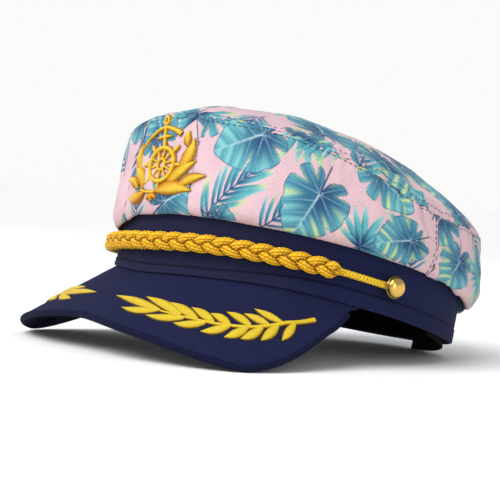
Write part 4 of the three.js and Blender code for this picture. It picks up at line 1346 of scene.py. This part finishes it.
def emblem():
    piece = Piece()
    cx, cz = WHEEL
    turn = np.radians(np.linspace(0, 360, 121))

    def spoke(degree, near, far, widths, seed, rise=0.85):
        a = math.radians(degree)
        way = np.array([math.sin(a), math.cos(a)])
        middle = np.array(WHEEL)
        stitched(piece, [middle + way * near, middle + way * far], widths, rise, 18, seed)

    for i in range(10):
        spoke(i * 36, 2.7, 8.4, [1.1, 1.1], 3 + i)
    for i in range(1, 8):
        spoke(i * 45 - 4, 9.2, 14.4, [1.2, 1.9, 2.0, 1.1], 20 + i, 1.0)
    hub = np.stack([cx + np.sin(turn) * 2.5, cz + np.cos(turn) * 2.9], -1)
    stitched(piece, hub, [1.7, 1.7], 1.2, 60, 2, 0.2)
    ring = np.stack([cx + np.sin(turn) * 8.7, cz + np.cos(turn) * 8.9], -1)
    stitched(piece, ring, [2.4, 2.4], 1.4, 160, 1, 0.2)
    stitched(piece, [(8.2, 64.6), (6.0, 70.5), (4.4, 76.4)], [1.9, 1.7, 1.7], 1.1, 30, 30)
    loop = np.stack([4.4 + np.sin(turn) * 1.4, 78.8 + np.cos(turn) * 2.0], -1)
    stitched(piece, loop, [1.6, 1.6], 1.3, 60, 31, 0.2)
    right_arm = [(4.4, 75.6), (8.4, 75.2), (12.4, 74.3), (16.0, 73.2), (18.0, 72.1)]
    stitched(piece, right_arm, [1.8, 2.0, 2.2, 3.0, 2.4], 1.3, 40, 32)
    left_arm = [(4.6, 75.3), (1.6, 74.4), (-1.6, 72.6), (-4.6, 70.2), (-7.2, 67.8), (-10.2, 63.8)]
    stitched(piece, left_arm, [1.8, 1.8, 1.6, 1.4, 1.2, 1.0], 1.1, 50, 33)
    stitched(piece, [(0, 68.8), (6.0, 70.2), (12.0, 71.0)], leaf_width(1.8), 1.1, 30, 34)
    stitched(piece, curved((6.8, 40.6), (-3.0, 41.2), 0.05), [1.6, 1.4], 1.0, 40, 60)
    stitched(piece, curved((6.8, 40.6), (23.6, 55.0), -0.16), [1.6, 1.4, 1.2], 0.9, 60, 61)
    for i, (foot, tip, bow, wide) in enumerate(SPRAY):
        line, lift = curved(foot, tip, bow), 0.3 + 0.06 * i
        # Each spray leaf carries painted shade from leaf_shade.
        stitched(piece, line, leaf_width(wide), 1.5, SPRAY_COUNT, 40 + i, 0.9, leaf_shade(), lift)
    for i, tip in enumerate(((3.0, 36.6), (10.6, 37.4), (6.7, 35.4))):
        stitched(piece, curved((6.8, 39.8), tip, 0.05), leaf_width(1.9), 1.3, 24, 70 + i, 0.4, ORANGE, 0.8)
    piece.make("emblem_stitching", GOLD_THREAD, ["emblem"])


emblem()


# Braid, cords and buttons
def braid_line(angle, out, rise):
    return around(angle, out, BAND_HEIGHT * braid_share(angle) + rise)


def knit(run, turn):
    """Loops of a knitted cord, from 0 in the gaps to 1 on the loops."""
    column = turn / (2 * math.pi) * KNIT_COLUMNS
    index = np.floor(column)
    part = column - index - 0.5
    row = run / KNIT_PITCH + 0.5 * (index % 2)
    along = row - np.floor(row) - 0.5
    lean = np.where(index % 2 > 0, 0.55, -0.55)
    far = (part / 0.5) ** 2 + ((along + part * lean) / 0.5) ** 2
    return np.clip(1 - far, 0, 1) ** 0.6


def creases(ring, lines, reach):
    """How near each point of a strand lies to the other strands, from 0 clear of them to 1."""
    near = np.full(ring.shape[:2], 99.0)
    for line in lines:
        for ahead in range(-9, 10, 3):
            moved = np.roll(line, ahead, 0)[:, None]
            near = np.minimum(near, np.linalg.norm(ring - moved, axis=-1))
    return bell(np.maximum(near - reach, 0), 0.6)


def braid():
    """Three knitted strands, plaited."""
    piece = Piece()
    steps = 1000
    fine = np.linspace(-BRAID_END_ANGLE, BRAID_END_ANGLE, steps)
    middle = TRIM_OUT + BRAID_DEPTH / 2
    run = run_along(braid_line(fine, middle, 0))
    total = run[-1]
    pitch = total / round(total / STRAND_PITCH)
    end = step(run, 0, 7) * step(total - run, 0, 7)
    strands = []
    for i in range(3):
        phase = 2 * math.pi * (run / pitch + i / 3)
        out = middle + 0.3 + 1.5 * np.sin(2 * phase) * end
        strands.append(braid_line(fine, out, 2.5 * np.sin(phase) * end))
    size = STRAND * (0.66 + 0.34 * end)

    def loops(run, turn):
        return knit(run, turn) * 0.4 - 0.22

    for i, points in enumerate(strands):
        ring, uv, along, turn = tube(points, UPRIGHT, size * 0.95, size, 30, loops)
        others = [line for k, line in enumerate(strands) if k != i]
        # Painted shade where the strands press together and in the gaps between the knitted loops.
        crease_shade = creases(ring, others, size[:, None] / 2) * end[:, None]
        tone = mix(CORD_GAP_SHADE, np.ones(3), knit(along, turn)[..., None])
        tone = tone * mix(np.ones(3), CORD_CREASE_SHADE, 0.8 * crease_shade[..., None])
        piece.grid(ring, uv, tone, wrap=(False, True))
    piece.make("braid_cord", CORD_THREAD, ["braid"])


braid()


def plait(run, turn):
    """Round plaited cord, from 0 in the gaps to 1 on the strands."""
    a = np.sin(run * 2 * math.pi / PLAIT_PITCH + turn * 3)
    b = np.sin(run * 2 * math.pi / PLAIT_PITCH - turn * 3)
    return np.clip(0.5 + 0.5 * np.maximum(a, b), 0, 1)


def cord_end(side):
    fine = side * np.linspace(BRAID_END_ANGLE - 2.2, BUTTON_ANGLE - 0.6, 220)
    points = braid_line(fine, TRIM_OUT + CORD / 2 + 0.2, 0)
    ring, uv, run, turn = tube(points, UPRIGHT, CORD, CORD, 30, lambda r, a: plait(r, a) * 0.34 - 0.24)
    # Painted shade in the gaps of the plait.
    tone = mix(CORD_GAP_SHADE * 0.85, np.ones(3), plait(run, turn)[..., None] ** 0.6)
    piece = Piece()
    piece.grid(ring, uv, tone, wrap=(False, True))
    node = "cord_end_left" if side > 0 else "cord_end_right"
    piece.make(node + "_cord", CORD_THREAD, [node])


cord_end(1)
cord_end(-1)


def button(side):
    """A domed button with a rolled edge, on a collar round its shank; painted shade darkens the collar, the
    edge's underside and the dome's foot.
    """
    angle = np.array(side * BUTTON_ANGLE)
    origin = around(angle, TRIM_OUT, BUTTON_LEVEL)
    under = CORD + GAP * 3
    half = BUTTON / 2
    profile = [(1.6, 0.0), (1.6, 0.4), (3.0, 0.5), (3.3, 1.1), (2.6, 1.7), (1.7, 1.9), (1.7, under - 0.3)]
    # Painted shade along the profile, from dark on the collar to full brightness on the dome's top.
    shade_tones = [0.2, 0.2, 0.45, 0.5, 0.3, 0.2, 0.2]
    for share in np.linspace(0, 1, 7):
        a = math.pi * (share - 0.5)
        profile.append((half - 0.55 + 0.55 * math.cos(a), under + 0.25 + 0.5 * math.sin(a)))
        shade_tones.append(mix(0.3, 0.8, share))
    for share in np.linspace(0.06, 1, 26):
        a = share * math.pi / 2
        rise = under + 0.55 + math.sin(a) * (BUTTON_RISE - 0.55)
        profile.append((max(math.cos(a) * (half - 0.4), 0.01), rise))
        shade_tones.append(float(mix(0.45, 1.0, step(share, 0.0, 0.5))))
    axis = outward(angle)
    first = unit(np.cross(axis, UPRIGHT))
    second = np.cross(axis, first)
    turn = full_turn(BUTTON_STEPS)[:, None, None]
    r, h = np.array(profile).T[:, None, :, None]
    piece = Piece()
    points = origin + first * (np.cos(turn) * r) + second * (np.sin(turn) * r) + axis * h
    piece.grid(points, None, np.array(shade_tones)[None, :, None], wrap=(True, False))
    node = "button_left" if side > 0 else "button_right"
    piece.make(node + "_brass", BRASS, [node])


button(1)
button(-1)
